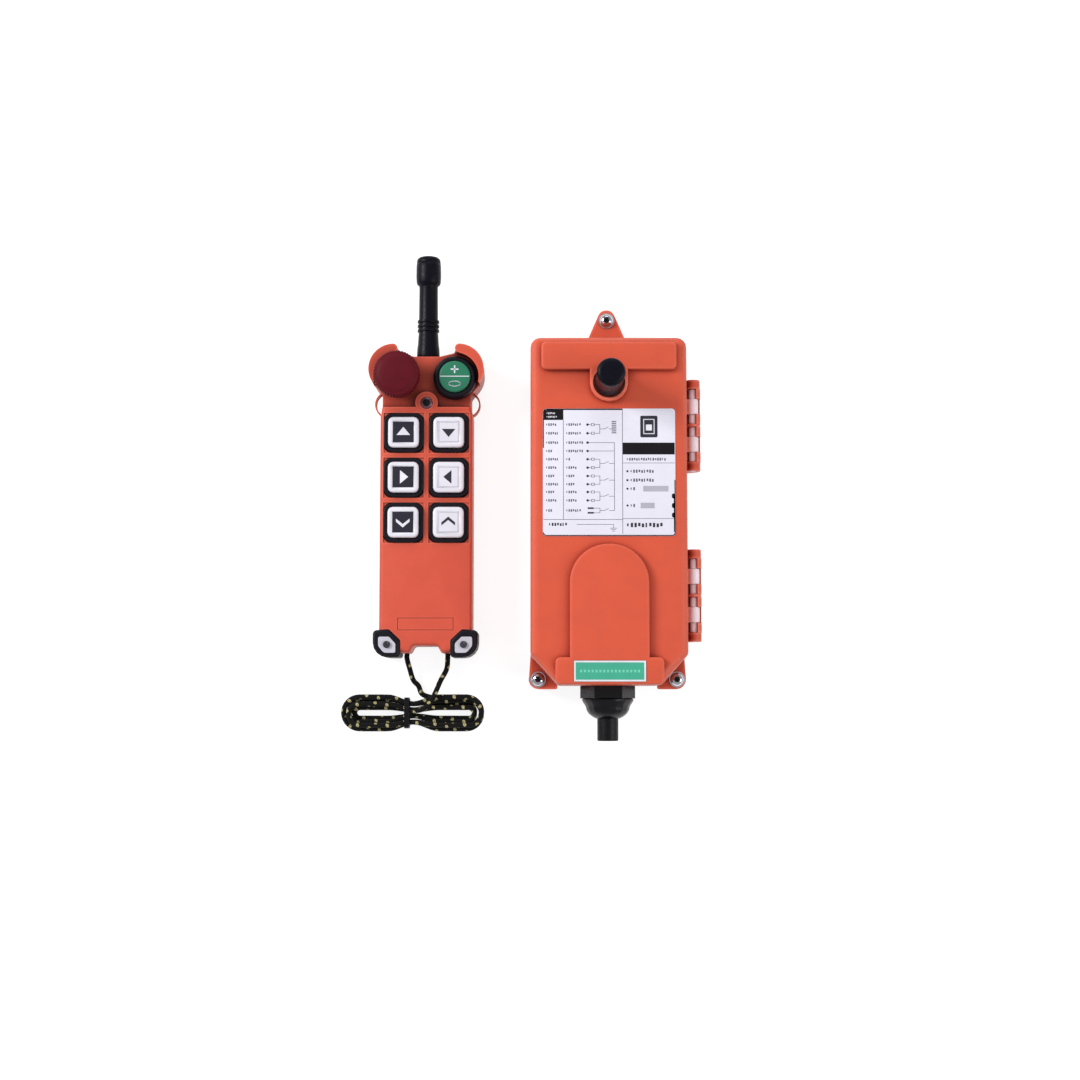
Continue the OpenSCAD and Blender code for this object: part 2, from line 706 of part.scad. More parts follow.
module cap(row, side) color(white) in_handset() translate([side * button_x, button_rows[row], 0]) {
    difference() {
        soft_slab(square_corners(cap_w, cap_w, cap_r), cap_low_z, cap_z, 1.2);
        block(plate_w + 0.2, plate_w + 0.2, cap_z - plate_t + 0.1, cap_z + over);
    }
    rod(stem_r, stem_low_z, cap_low_z);
}
module plate(row, side, shade) color(shade) in_handset()
    block(plate_w, plate_w, cap_z - plate_t + 0.1, cap_z + 0.1, [side * button_x, button_rows[row]]);

module up_button() cap(0, -1);
module down_button() cap(0, 1);
module east_button() cap(1, -1);
module west_button() cap(1, 1);
module south_button() cap(2, -1);
module north_button() cap(2, 1);
module up_plate() plate(0, -1, black);
module down_plate() plate(0, 1, white);
module east_plate() plate(1, -1, black);
module west_plate() plate(1, 1, white);
module south_plate() plate(2, -1, black);
module north_plate() plate(2, 1, white);

module start_ring() color(black) in_handset() translate([round_x, round_y, 0]) difference() {
    union() {
        rod(start_ring_r, valley_z, start_ring_z - 1);
        translate([0, 0, start_ring_z - 1]) cylinder(r1 = start_ring_r, r2 = start_ring_r - 1, h = 1);
    }
    rod(start_r + gap, valley_z - over, start_ring_z + over);
}
module start_button() color(green) in_handset() translate([round_x, round_y, 0]) {
    rod(start_r, valley_z + cap_travel + 0.2, start_z - 0.8);
    translate([0, 0, start_z - 0.8]) cylinder(r1 = start_r, r2 = start_r - 0.8, h = 0.8);
    rod(start_stem_r, stop_block_z + cap_travel + 0.3, valley_z + cap_travel + 0.3);
}

module stop_collar() color(black) in_handset() translate([-round_x, round_y, 0]) difference() {
    rod(stop_collar_r, valley_z, stop_collar_z);
    rod(stop_stem_r + fit, valley_z - over, stop_collar_z + over);
}
module stop_stem() color(black) in_handset() translate([-round_x, round_y, 0]) {
    rod(stop_foot_r, stop_foot_z, stop_foot_z + 2);
    rod(stop_stem_r, stop_foot_z, stop_head_z - 0.1);
    rod(stop_pin_r, stop_foot_z, stop_head_z + stop_pin_h - 0.4);
    rod(stop_rod_r, stop_block_z + stop_travel + 0.4, stop_foot_z);
}
module stop_spring() color(steel) in_handset()
    translate([-round_x, round_y, 0]) tube(spring_line(), spring_wire_r, 6, [1, 0, 0]);
spring_steps = 10;
function spring_line() = let (z0 = stop_block_z + spring_wire_r, z1 = stop_foot_z - spring_wire_r,
    n = spring_turns * spring_steps) [for (i = [0:n]) let (a = 360 * i / spring_steps)
    [spring_r * cos(a), spring_r * sin(a), z0 + (z1 - z0) * i / n]];

stop_bulge = 1.2;
module stop_head() color("#5d1a23") in_handset() translate([-round_x, round_y, stop_head_z]) difference() {
    rotate_extrude() polygon([
        [0, 0], [stop_r - 3, 0], [stop_r - stop_bulge, 2], [stop_r, 4.5], [stop_r, stop_head_h - 5],
        [stop_r - 0.9, stop_head_h - 2.6], [stop_r - 3.2, stop_head_h - 0.9], [stop_r - 7, stop_head_h],
        [0, stop_head_h]]);
    translate([0, 0, -over]) cylinder(r = stop_pin_r + fit, h = stop_pin_h + over);
    for (k = [0:grip_notches - 1]) rotate(360 * k / grip_notches)
        translate([stop_r + grip_r / 2, 0, -over]) cylinder(r = grip_r, h = stop_head_h + 2 * over, $fn = 12);
}

module bumper(s) color(black) in_handset() mirror([s, 0, 0]) difference() {
    loft([for (v = bumper_levels) [for (p = rounded(inset_corners(bumper_corners, v[1]), bumper_corners))
        [p[0], p[1], v[0]]]]);
    for (z = [bumper_z[0] - over, bumper_z[1] - bumper_plate_t])
        plain_slab(inset_corners(bumper_plate_corners, -0.1), z, z + bumper_plate_t + over);
    rod(bumper_screw_hole_r, bumper_z[0] - over, bumper_z[1] + over, bumper_plate_mid);
}
bumper_screw_hole_r = 1.3;
bumper_edge = 1.2;
bumper_levels = [[bumper_z[0], bumper_edge], [bumper_z[0] + bumper_edge, 0],
    [bumper_z[1] - bumper_edge, 0], [bumper_z[1], bumper_edge]];
module left_bumper() bumper(1);
module right_bumper() bumper(0);

module bumper_plates() color(grey) in_handset() both_sides()
    for (z = [bumper_z[0], bumper_z[1] - bumper_plate_t]) difference() {
        plain_slab(bumper_plate_corners, z, z + bumper_plate_t);
        rod(bumper_screw_hole_r, z - over, z + bumper_plate_t + over, bumper_plate_mid);
    }
module bumper_screws() color(steel) in_handset() both_sides() difference() {
    union() {
        rod(bumper_screw_hole_r - 0.05, bumper_z[0] - 0.5, bumper_z[1], bumper_plate_mid);
        rod(bumper_screw_r, bumper_z[1], bumper_z[1] + 1.2, bumper_plate_mid);
        rod(bumper_screw_r, bumper_z[0] - 0.9, bumper_z[0], bumper_plate_mid);
    }
    block(0.7, 2 * bumper_screw_r, bumper_z[1] + 0.6, bumper_z[1] + 2, bumper_plate_mid);
}

// Lanyard: one unbroken line, straight runs joined by half turns at both ends
function run_off(k) = let (layer = floor(k / 4), i = k % 4) layer % 2 == 0 ? i / 2 : (3 - i) / 2;
function run_z(k) = cord_r + hank_floor + floor(k / 4) * hank_lift;
function run_side(k) = k % 2 == 0 ? 1 : -1;
function pinch(x) = let (t = min(abs(x) / hank_pinch_l, 1)) (1 + cos(180 * t)) / 2;
function drawn_in(bend, off, x) = bend - (bend - hank_waist[off < 0.9 ? 0 : 1]) * pinch(x);
function run_point(k, t) = let (s = run_side(k), bend = hank_bend - run_off(k) * hank_step,
    far = hank_half - hank_bend, x0 = k == 0 ? hank_start_x : -s * far, x1 = k == hank_runs - 1 ? hank_end_x : s * far,
    x = x0 + (x1 - x0) * t) [x, s * drawn_in(bend, run_off(k), x), run_z(k)];
function bend_point(k, t) = let (s = run_side(k), far = hank_half - hank_bend,
    r = hank_bend - hank_step * (run_off(k) + (run_off(k + 1) - run_off(k)) * t), a = 90 - 180 * t)
    [s * (far + r * cos(a)), s * r * sin(a), run_z(k) + (run_z(k + 1) - run_z(k)) * (1 - cos(180 * t)) / 2];
function hank_line() = [for (k = [0:hank_runs - 1]) each concat(
    [for (i = [0:hank_run_rings]) run_point(k, i / hank_run_rings)],
    k == hank_runs - 1 ? [] : [for (i = [1:hank_bend_rings - 1]) bend_point(k, i / hank_bend_rings)])];
hank_bend_rings = 8;
hank_points = [for (p = hank_line()) [p[0] + hank_centre[0], p[1] + hank_centre[1], p[2]]];
hank_first = hank_points[0];
hank_last = hank_points[len(hank_points) - 1];
function self_gap(p, near) = min([for (i = [0:len(p) - 1], j = [i + near:1:len(p) - 1]) norm(p[i] - p[j])]);
echo(least_gap_of_the_hank = self_gap(hank_points, 8) - cord_d);

module lanyard_hank() color(black) in_handset() tube(hank_points, cord_r, hank_sides);

left_start = [-lanyard_x, leg_y + hole_deep - 0.5, hole_z];
hank_in = cord_d * towards(hank_points[0], hank_points[1]);
hank_out = cord_d * towards(hank_points[len(hank_points) - 2], hank_last);
lead_in = hank_first - 2 * hank_in;
left_points = spline([left_start, [-lanyard_x, leg_y, hole_z], [-lanyard_x, leg_y - cord_d, hole_z],
    lead_mid[0], lead_mid[1], lead_in + lead_turn * [-1, 1, 0.05], lead_in + lead_turn * [-0.7, 0.3, 0.01],
    lead_in, hank_first - hank_in, hank_first], 4);
right_start = [lanyard_x, leg_y + hole_deep - 0.5, hole_z];
right_points = spline([hank_last, hank_last + hank_out, hank_last + 2 * hank_out + [0, 0, 0.6],
    lead_back[3], lead_back[2], lead_back[1], lead_back[0],
    [lanyard_x, leg_y - cord_d, hole_z], [lanyard_x, leg_y, hole_z], right_start], 4);
module lanyard_left_lead() color(black) in_handset() tube(left_points, cord_r, cord_sides);
module lanyard_right_lead() color(black) in_handset() tube(right_points, cord_r, cord_sides);

tie_in_y = drawn_in(hank_bend, 0, abs(tie_x) + tie_w / 2) + cord_r + 0.25;
tie_z = run_z(hank_runs - 1) + cord_r + 0.1;
module hank_tie() color(black) in_handset() translate([hank_centre[0] + tie_x, hank_centre[1], 0]) difference() {
    rotate([90, 0, 90]) translate([0, 0, -tie_w / 2]) linear_extrude(tie_w) polygon(outline(
        [[tie_in_y + tie_t, 0, 3], [tie_in_y + tie_t, tie_z + tie_t, cord_r + tie_t],
        [-tie_in_y - tie_t, tie_z + tie_t, cord_r + tie_t], [-tie_in_y - tie_t, 0, 3]]));
    rotate([90, 0, 90]) translate([0, 0, -tie_w]) linear_extrude(2 * tie_w) polygon(outline(
        [[tie_in_y, hank_floor - 0.05, 1.2], [tie_in_y, tie_z, cord_r],
        [-tie_in_y, tie_z, cord_r], [-tie_in_y, hank_floor - 0.05, 1.2]]));
}

// Receiver
case_corners = mirrored([[cut_x, 0, 4], [receiver_w / 2, cut_y, 4], [receiver_w / 2, receiver_l, corner_r]]);
function shrunk(c, d) = inset_corners(c, d);
case_hollow = shrunk(case_corners, receiver_wall);

module mount_ears() both_sides() plain_slab([[ear_hole_x - 12, ear_hole_y - mount_ear_r, 1],
    [ear_hole_x + mount_ear_r, ear_hole_y - mount_ear_r, 6], [receiver_w / 2, 20, 1], [ear_hole_x - 12, 20, 1]],
    ear_z, ear_z + mount_ear_t);
module mount_tab() plain_slab(mirrored([[tab_root, receiver_l - corner_r, 1], [tab_end, tab_y + tab_up, 5]]),
    ear_z, ear_z + mount_ear_t);
module mount_places() {
    translate([0, tab_y, 0]) children();
    both_sides() translate([ear_hole_x, ear_hole_y, 0]) children();
}

// The cross-section of a hinge lug, seen along the hinge
module lug_shape() union() {
    translate([hinge_x, hinge_z]) circle(lug_r);
    polygon([[receiver_w / 2 - receiver_wall / 2, hinge_z - lug_web_h - lug_r],
        [receiver_w / 2 - receiver_wall / 2, hinge_z - lug_r], [hinge_x, hinge_z - lug_r],
        [hinge_x + lug_r, hinge_z], [hinge_x + lug_r - 1, hinge_z - lug_r - 1]]);
}
module along_hinge(y, l) translate([0, y + l / 2, 0]) rotate([90, 0, 0]) linear_extrude(l) children();
module hinge_places() for (y = hinge_ys) translate([0, y, 0]) children();
clip_y = (mid_web + clip_l) / 2 + gap;
lug_y = (hinge_l - lug_t) / 2;

module receiver_base() color(orange) in_receiver() difference() {
    union() {
        difference() {
            soft_slab(case_corners, receiver_seam_z, base_z, 3);
            plain_slab(case_hollow, case_floor_z, receiver_seam_z + over);
        }
        mount_ears();
        mount_tab();
        hinge_places() {
            for (s = [-1, 1]) along_hinge(s * lug_y, lug_t) lug_shape();
            along_hinge(0, mid_web) lug_shape();
        }
        board_posts() rod(post_r, case_floor_z - 0.5, rboard_z);
    }
    ring_slab(case_corners, 0.8, 1.7, receiver_seam_z - seal_t, receiver_seam_z + over);
    mount_places() {
        rod(mount_d / 2 + 0.3, ear_z - over, ear_z + mount_ear_t + over);
        rod(screw_head_r + 1, ear_z + mount_ear_t, receiver_seam_z + over);
    }
    hinge_places() along_hinge(0, hinge_l + 2 * over) translate([hinge_x, hinge_z]) circle(pin_r + fit);
    translate([0, -over, gland_z]) rotate([-90, 0, 0]) cylinder(r = gland_thread_r + 0.1, h = receiver_wall + 2 * over);
    board_posts() rod(shell_screw_r, case_floor_z, rboard_z + over);
    vent_cut();
}
module vent_cut() for (k = [-2:2]) block(label_frame_line, 10, base_z - over, base_z + 0.4, [k * 3, receiver_l / 2]);
module board_posts() for (y = [rboard_y + post_inset, rboard_y + rboard_l - post_inset])
    both_sides() translate([rboard_w / 2 - post_inset, y, 0]) children();

cover_low_z = receiver_seam_z;
module cover_bands() {
    soft_slab(square_corners(band_w, band_top_y - band_low_y, 3, [0, (band_top_y + band_low_y) / 2]),
        cover_roof_z, band_z, band_edge);
    soft_slab([[boss_r, stub_y - boss_r - 0.2, boss_r - 0.3], [boss_r, band_low_y + 4, 1],
        [-boss_r, band_low_y + 4, 1], [-boss_r, stub_y - boss_r - 0.2, boss_r - 0.3]], cover_roof_z, band_z, band_edge);
    soft_slab(square_corners(foot_band_w, foot_band_y - 0.4, 3, [0, (foot_band_y + 0.4) / 2]),
        receiver_front_z - cover_edge, band_z, band_edge);
    soft_slab([[arch_r, foot_band_y - 4, 1], [arch_r, arch_top_y, arch_r - 0.5],
        [-arch_r, arch_top_y, arch_r - 0.5], [-arch_r, foot_band_y - 4, 1]], cover_roof_z, band_z, band_edge);
}
module receiver_cover() color(orange) in_receiver() difference() {
    union() {
        difference() {
            soft_slab(case_corners, cover_low_z, receiver_front_z, cover_edge);
            plain_slab(case_hollow, cover_low_z - over, cover_roof_z);
        }
        cover_bands();
    }
    rod(stub_seat_r, stub_seat_z, band_z + over, [0, stub_y]);
    rod(stub_stem_r + 0.1, cover_low_z, band_z, [0, stub_y]);
}
stub_stem_r = 4;
stub_nut_r = 7;
stub_nut_h = 3;

module cover_seal() color(black) in_receiver()
    ring_slab(case_corners, 0.9, 1.6, receiver_seam_z - seal_t, receiver_seam_z);

module hinge_arms() color(white) in_receiver() hinge_places() for (s = [-1, 1]) difference() {
    union() {
        along_hinge(s * clip_y, clip_l) translate([hinge_x, hinge_z]) circle(barrel_r);
        along_hinge(s * clip_y, large_gap) translate([hinge_x, hinge_z]) circle(lug_r);
        along_hinge(s * clip_y, large_gap) polygon([
            [receiver_w / 2 + 0.05, hinge_z + 0.5], [hinge_x, hinge_z + lug_r - arm_t - 0.5],
            [hinge_x, hinge_z + lug_r], [receiver_w / 2 + arm_t, hinge_z + arm_pad_h],
            [receiver_w / 2 + 0.05, hinge_z + arm_pad_h]]);
    }
    along_hinge(s * clip_y, clip_l + over) translate([hinge_x, hinge_z]) circle(pin_r + fit);
}
module hinge_pins() color(steel) in_receiver() hinge_places()
    along_hinge(0, hinge_l) translate([hinge_x, hinge_z]) circle(pin_r);

module rating_label() color(white) in_receiver()
    block(label_w, label_l, receiver_front_z, receiver_front_z + label_t, [0, label_mid_y]);
module supply_label() color("#42ab8d") in_receiver()
    block(supply_w, supply_l, band_z, band_z + label_t, [0, supply_y]);

stub_waist_share = 0.2;
module stub_aerial() color(black) in_receiver() translate([0, stub_y, 0]) {
    translate([0, 0, stub_seat_z]) rotate_extrude() polygon([
        [0, 0], [stub_r, 0], [stub_r, band_rise + 2], [stub_r - 1, band_rise + 3],
        [stub_r - 1, band_rise + stub_h * stub_waist_share], [stub_r - 1.8, band_rise + stub_h - 2],
        [stub_r - 3.4, band_rise + stub_h + 1], [0, band_rise + stub_h + 1]]);
    rod(stub_stem_r, cover_roof_z - stub_nut_h - 1, stub_seat_z);
    rotate(30) rod_hex(stub_nut_r, cover_roof_z - stub_nut_h, cover_roof_z - 0.05);
}
module rod_hex(r, z0, z1) translate([0, 0, z0]) cylinder(r = r, h = z1 - z0, $fn = 6);

module at_gland() in_receiver() translate([0, 0, gland_z]) rotate([90, 0, 0]) children();
module gland_body() color(black) at_gland() difference() {
    union() {
        rod_hex(gland_r, 0.05, gland_hex_l);
        translate([0, 0, -receiver_wall - gland_lock_l - 1]) cylinder(r = gland_thread_r, h = receiver_wall + gland_lock_l + 2);
    }
    translate([0, 0, -receiver_wall - gland_lock_l - 2]) cylinder(r = gland_bore_r, h = receiver_wall + gland_hex_l + gland_lock_l + 4);
}
module gland_nut() color(black) at_gland() difference() {
    union() {
        translate([0, 0, gland_hex_l + 0.05]) cylinder(r1 = gland_r - 1, r2 = gland_r - 2.5, h = gland_nut_l * gland_nut_share);
        translate([0, 0, gland_hex_l + gland_nut_l * gland_nut_share])
            cylinder(r1 = gland_r - 2.5, r2 = cable_r + 2.6, h = gland_nut_l * (1 - gland_nut_share));
    }
    translate([0, 0, gland_hex_l - over]) cylinder(r = gland_bore_r, h = gland_nut_l - 1);
    translate([0, 0, gland_hex_l]) cylinder(r = cable_r + 0.1, h = gland_nut_l + over);
}
gland_nut_share = 0.45;
module gland_seal() color("#3a3a40") at_gland() difference() {
    translate([0, 0, -2]) cylinder(r = gland_bore_r - 0.05, h = gland_hex_l + 6);
    translate([0, 0, -3]) cylinder(r = cable_r + 0.05, h = gland_hex_l + 8);
}
module cable_stub() color(black) at_gland()
    translate([0, 0, -receiver_wall - cable_in]) cylinder(r = cable_r, h = cable_out + receiver_wall + cable_in);

module mounting_screws() color(steel) in_receiver() mount_places() difference() {
    union() {
        rod(screw_head_r - 0.5, ear_z + mount_ear_t + washer_t, ear_z + mount_ear_t + washer_t + screw_head_h);
        rod(screw_head_r, ear_z + mount_ear_t, ear_z + mount_ear_t + washer_t);
        rod(mount_d / 2 - 0.05, ear_z - screw_deep, ear_z + mount_ear_t + 0.1);
    }
    rod_hex(mount_d / 2, ear_z + mount_ear_t + screw_head_h - 1, ear_z + mount_ear_t + 2 * screw_head_h);
}
module mounting_buffers() color(black) in_receiver() mount_places() difference() {
    rod(buffer_r, 0, ear_z);
    rod(mount_d / 2 + 0.05, ear_z - screw_deep - 0.5, ear_z + over);
    rod(mount_d / 2, -over, buffer_hole);
}

module receiver_board() color("#2f6b3c") in_receiver() difference() {
    translate([-rboard_w / 2, rboard_y, rboard_z]) cube([rboard_w, rboard_l, board_t]);
    board_posts() rod(shell_screw_r + 0.2, rboard_z - over, rboard_top + over);
}
relay_cols = 4;
relay_rows = 2;
module relays() color("#e9e6dc") in_receiver() for (i = [0:relay_cols - 1], j = [0:relay_rows - 1])
    translate([(i - (relay_cols - 1) / 2) * (relay_size[0] + 3) - relay_size[0] / 2, relay_y + j * relay_pitch, rboard_top])
        cube(relay_size);
module board_parts() color(black) in_receiver() {
    block(terminal_size[0], terminal_size[1], rboard_top, rboard_top + terminal_size[2], [0, rboard_y + 22]);
    block(transformer_size[0], transformer_size[1], rboard_top, cover_roof_z - 6, [-15, 138]);
    block(module_size[0], module_size[1], rboard_top, rboard_top + module_size[2], [18, 178]);
    block(7, 24, rboard_top, rboard_top + 9, [26, 138]);
}
module board_screws() color(steel) in_receiver() board_posts() {
    rod(shell_head_r, rboard_top, rboard_top + shell_head_h);
    rod(shell_screw_r - 0.05, case_floor_z + 0.5, rboard_top);
}

handset_front_shell();
handset_rear_shell();
handset_seal();
battery_door();
battery_door_screw();
battery_cells();
battery_contacts();
handset_board();
key_switches();
transmitter_module();
shell_screws();
whip_aerial();
aerial_socket();
status_led();
led_lens();
button_boots();
up_button();
down_button();
east_button();
west_button();
south_button();
north_button();
up_plate();
down_plate();
east_plate();
west_plate();
south_plate();
north_plate();
start_ring();
start_button();
stop_collar();
stop_stem();
stop_spring();
stop_head();
left_bumper();
right_bumper();
bumper_plates();
bumper_screws();
lanyard_left_lead();
lanyard_hank();
lanyard_right_lead();
hank_tie();
receiver_base();
receiver_cover();
cover_seal();
hinge_arms();
hinge_pins();
rating_label();
supply_label();
stub_aerial();
gland_body();
gland_nut();
gland_seal();
cable_stub();
mounting_screws();
mounting_buffers();
receiver_board();
relays();
board_parts();
board_screws();
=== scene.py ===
"""Dress the crane radio remote control: its handset with the lanyard, and its receiver.

Lengths are in millimetres where a name or a docstring doesn't say otherwise.
"""

import logging
import math
from collections.abc import Iterable, Sequence
from dataclasses import dataclass, field
from enum import Enum
from itertools import product

import bmesh
import bpy
from mathutils import Matrix, Vector

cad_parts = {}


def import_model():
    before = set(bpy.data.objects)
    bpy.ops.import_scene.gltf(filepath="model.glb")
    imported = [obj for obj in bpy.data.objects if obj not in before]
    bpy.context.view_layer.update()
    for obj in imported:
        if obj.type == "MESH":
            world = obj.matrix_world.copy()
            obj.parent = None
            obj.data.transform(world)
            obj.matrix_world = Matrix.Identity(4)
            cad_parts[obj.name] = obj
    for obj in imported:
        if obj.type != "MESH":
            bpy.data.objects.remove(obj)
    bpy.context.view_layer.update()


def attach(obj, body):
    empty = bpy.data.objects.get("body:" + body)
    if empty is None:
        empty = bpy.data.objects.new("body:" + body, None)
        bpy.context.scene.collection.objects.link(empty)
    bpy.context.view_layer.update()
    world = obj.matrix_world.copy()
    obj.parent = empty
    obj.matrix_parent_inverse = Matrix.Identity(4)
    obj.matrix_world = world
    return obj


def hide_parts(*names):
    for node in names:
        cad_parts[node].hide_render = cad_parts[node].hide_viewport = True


log = logging.getLogger("remote_control")

MM = 0.001
Point = tuple[float, float, float]
Place = tuple[float, float]
Colour = tuple[int, int, int]
Socket = bpy.types.NodeSocket

# Where each device's own origin lies in the part, in millimetres
HANDSET: Point = (-66.25, -101.0, 0)
RECEIVER: Point = (45.75, -118.3, 0)

ORIGIN: Point = (0, 0, 0)
UPRIGHT: Point = (0, 0, 1)
LENGTHWISE: Point = (0, 1, 0)
SIDES = (-1, 1)
CORNERS = ((1, 1), (-1, 1), (-1, -1), (1, -1))


def on(device: Point, x: float, y: float, z: float = 0.0) -> Point:
    """Find a place of a device in the part, from the device's own origin."""
    return (device[0] + x, device[1] + y, z)


def fan(low: float, high: float, steps: int) -> list[float]:
    """Space angles evenly between two in degrees, both included, and return them in radians."""
    return [math.radians(low + (high - low) * k / steps) for k in range(steps + 1)]


def arc(at: Place, r: float, angles: Iterable[float]) -> list[Place]:
    """Find the points of an arc at its angles, given in radians."""
    return [(at[0] + r * math.cos(a), at[1] + r * math.sin(a)) for a in angles]


def linear(colour: Colour) -> tuple[float, float, float, float]:
    """Turn a colour as seen on screen into the shader's linear one.

    Args:
        colour: Red, green and blue from 0 to 255.

    Returns:
        Linear red, green, blue and an alpha of 1.
    """
    parts = [c / 255 for c in colour]
    low, high = 0.04045, 2.4
    return (*[p / 12.92 if p <= low else ((p + 0.055) / 1.055) ** high for p in parts], 1.0)


def shade(colour: Colour, factor: float) -> Colour:
    """Make a colour lighter or darker by a factor."""
    return tuple(min(255, max(0, round(c * factor))) for c in colour)


class Graph:
    """A material's node tree, grown from its shader backwards."""

    def __init__(self, name: str, colour: Colour, roughness: float, metallic: float = 0.0) -> None:
        """Start a material with one Principled shader.

        Args:
            name: The material's name.
            colour: Base colour as seen on screen.
            roughness: Roughness of the surface.
            metallic: 1 for bare metal.
        """
        self.material = bpy.data.materials.new(name)
        self.material.use_nodes = True
        self.tree = self.material.node_tree
        self.shader = self.tree.nodes["Principled BSDF"]
        self.set(self.shader, {"Base Color": linear(colour), "Roughness": roughness, "Metallic": metallic})
        self.place = self.add("ShaderNodeTexCoord").outputs["Object"]

    def set(self, node: bpy.types.Node, values: dict) -> None:
        """Set or link a node's inputs.

        Args:
            node: The node.
            values: Value or output socket by input name or number.
        """
        for key, value in values.items():
            if isinstance(value, Socket):
                self.tree.links.new(value, node.inputs[key])
            else:
                node.inputs[key].default_value = value

    def add(self, kind: str, values: dict | None = None, **attributes: object) -> bpy.types.Node:
        """Add a node.

        Args:
            kind: Blender's name of the node type.
            values: Values or sockets for its inputs.
            attributes: Properties of the node itself.

        Returns:
            The new node.
        """
        node = self.tree.nodes.new(kind)
        for key, value in attributes.items():
            setattr(node, key, value)
        self.set(node, values or {})
        return node

    def noise(self, size_mm: float, detail: float = 3.0, stretch: Point = (1, 1, 1)) -> Socket:
        """Add a noise whose blotches are about size_mm across.

        Args:
            size_mm: Size of a blotch.
            detail: Octaves of finer noise.
            stretch: Factor on the pattern's frequency along each axis.

        Returns:
            The noise's value socket.
        """
        place = self.place
        if stretch != (1, 1, 1):
            place = self.add("ShaderNodeMapping", {"Vector": place, "Scale": stretch}).outputs[0]
        values = {"Vector": place, "Scale": 1 / (size_mm * MM), "Detail": detail}
        return self.add("ShaderNodeTexNoise", values).outputs[0]

    def span(self, value: Socket, low: float, high: float, at: Place = (0.35, 0.65)) -> Socket:
        """Map a pattern's middle range, or the range that is given, to low and high."""
        return self.add("ShaderNodeMapRange", {0: value, 1: at[0], 2: at[1], 3: low, 4: high}).outputs[0]

    def calc(self, operation: str, *values: float | Socket) -> Socket:
        """Calculate with values and patterns by one of Blender's named operations."""
        return self.add("ShaderNodeMath", dict(enumerate(values)), operation=operation).outputs[0]

    def blend(self, share: Socket, first: Colour | Socket, second: Colour) -> Socket:
        """Blend between two colours by a pattern.

        Args:
            share: The pattern.
            first: The colour at 0, as seen on screen or from a socket.
            second: The colour at 1.

        Returns:
            The colour's socket.
        """
        start = first if isinstance(first, Socket) else linear(first)
        values = {0: share, 6: start, 7: linear(second)}
        return self.add("ShaderNodeMix", values, data_type="RGBA").outputs[2]

    def openness(self, reach_mm: float, inside: bool) -> Socket:
        """How open the surface lies, 0 to 1. Inside, it looks into the piece and finds its outer edges."""
        kind, values = "ShaderNodeAmbientOcclusion", {"Distance": reach_mm * MM}
        return self.add(kind, values, samples=8, inside=inside, only_local=inside).outputs["AO"]

    def bump(self, height: Socket, depth_mm: float, strength: float = 1.0) -> None:
        """Give the shader a bump.

        Args:
            height: Height pattern from 0 to 1.
            depth_mm: Height of the pattern.
            strength: Share of the bump that shows.
        """
        last = self.shader.inputs["Normal"].links
        values = {"Height": height, "Distance": depth_mm * MM, "Strength": strength}
        if last:
            values["Normal"] = last[0].from_socket
        self.set(self.shader, {"Normal": self.add("ShaderNodeBump", values).outputs[0]})


@dataclass(frozen=True)
class Moulded:
    """Moulded plastic or rubber: fine grain, faint mottling, small scuffs, painted shade in creases, painted
    highlights on edges.
    """

    name: str
    colour: Colour
    roughness: float = 0.42
    grain_mm: float = 0.5
    depth_mm: float = 0.012
    mottle: float = 0.03
    gloss: float = 0.5
    # Painted shade: a darker colour blended in where ambient occlusion finds creases and recesses, with its
    # reach and range
    painted_crease_shade: Colour | None = None
    painted_crease_shade_mm: float = 9.0
    # Painted highlight: a lighter colour on outer edges, found by occlusion inside the piece, standing in
    # for light on their rounding
    painted_edge_highlight: Colour | None = None
    painted_edge_highlight_mm: float = 1.3
    cloud_mm: float = 14.0
    scuff_mm: float = 5.0
    scuff: Place = (-0.05, 0.07)
    painted_crease_shade_range: Place = (0.35, 0.9)
    painted_edge_highlight_range: Place = (0.45, 0.95)
    painted_edge_highlight_share: float = 0.75

    def build(self) -> bpy.types.Material:
        """Make the material."""
        g = Graph(self.name, self.colour, self.roughness)
        g.set(g.shader, {"Specular IOR Level": self.gloss})
        cloud = g.span(g.noise(self.cloud_mm, 2), 0, 1)
        skin = g.blend(cloud, shade(self.colour, 1 - self.mottle), shade(self.colour, 1 + self.mottle))
        # Painted shade: darken creases and recesses by ambient occlusion
        if self.painted_crease_shade:
            share = g.span(g.openness(self.painted_crease_shade_mm, False), 1, 0, self.painted_crease_shade_range)
            skin = g.blend(share, skin, self.painted_crease_shade)
        # Painted highlight: lighten the outer edges where light would catch their rounding
        if self.painted_edge_highlight:
            share = g.span(g.openness(self.painted_edge_highlight_mm, True), self.painted_edge_highlight_share, 0, self.painted_edge_highlight_range)
            skin = g.blend(share, skin, self.painted_edge_highlight)
        rough = g.calc("ADD", g.span(g.noise(self.scuff_mm, 6, (1, 3, 1)), *self.scuff), self.roughness)
        g.set(g.shader, {"Base Color": skin, "Roughness": rough})
        g.bump(g.noise(self.grain_mm, 2), self.depth_mm)
        return g.material


@dataclass(frozen=True)
class Metal:
    """Plated or brushed metal with fine lines one way."""

    name: str
    colour: Colour
    roughness: float = 0.28
    line_mm: float = 0.25
    stretch: Point = (1, 14, 1)
    cloud_mm: float = 6.0
    depth_mm: float = 0.004

    def build(self) -> bpy.types.Material:
        """Make the material."""
        g = Graph(self.name, self.colour, self.roughness, 1.0)
        lines = g.noise(self.line_mm * self.stretch[1], 3, self.stretch)
        cloud = g.span(g.noise(self.cloud_mm), 0, 1)
        skin = g.blend(cloud, shade(self.colour, 0.93), shade(self.colour, 1.04))
        rough = g.span(lines, self.roughness - 0.06, self.roughness + 0.1)
        g.set(g.shader, {"Base Color": skin, "Roughness": rough})
        g.bump(lines, self.depth_mm)
        return g.material


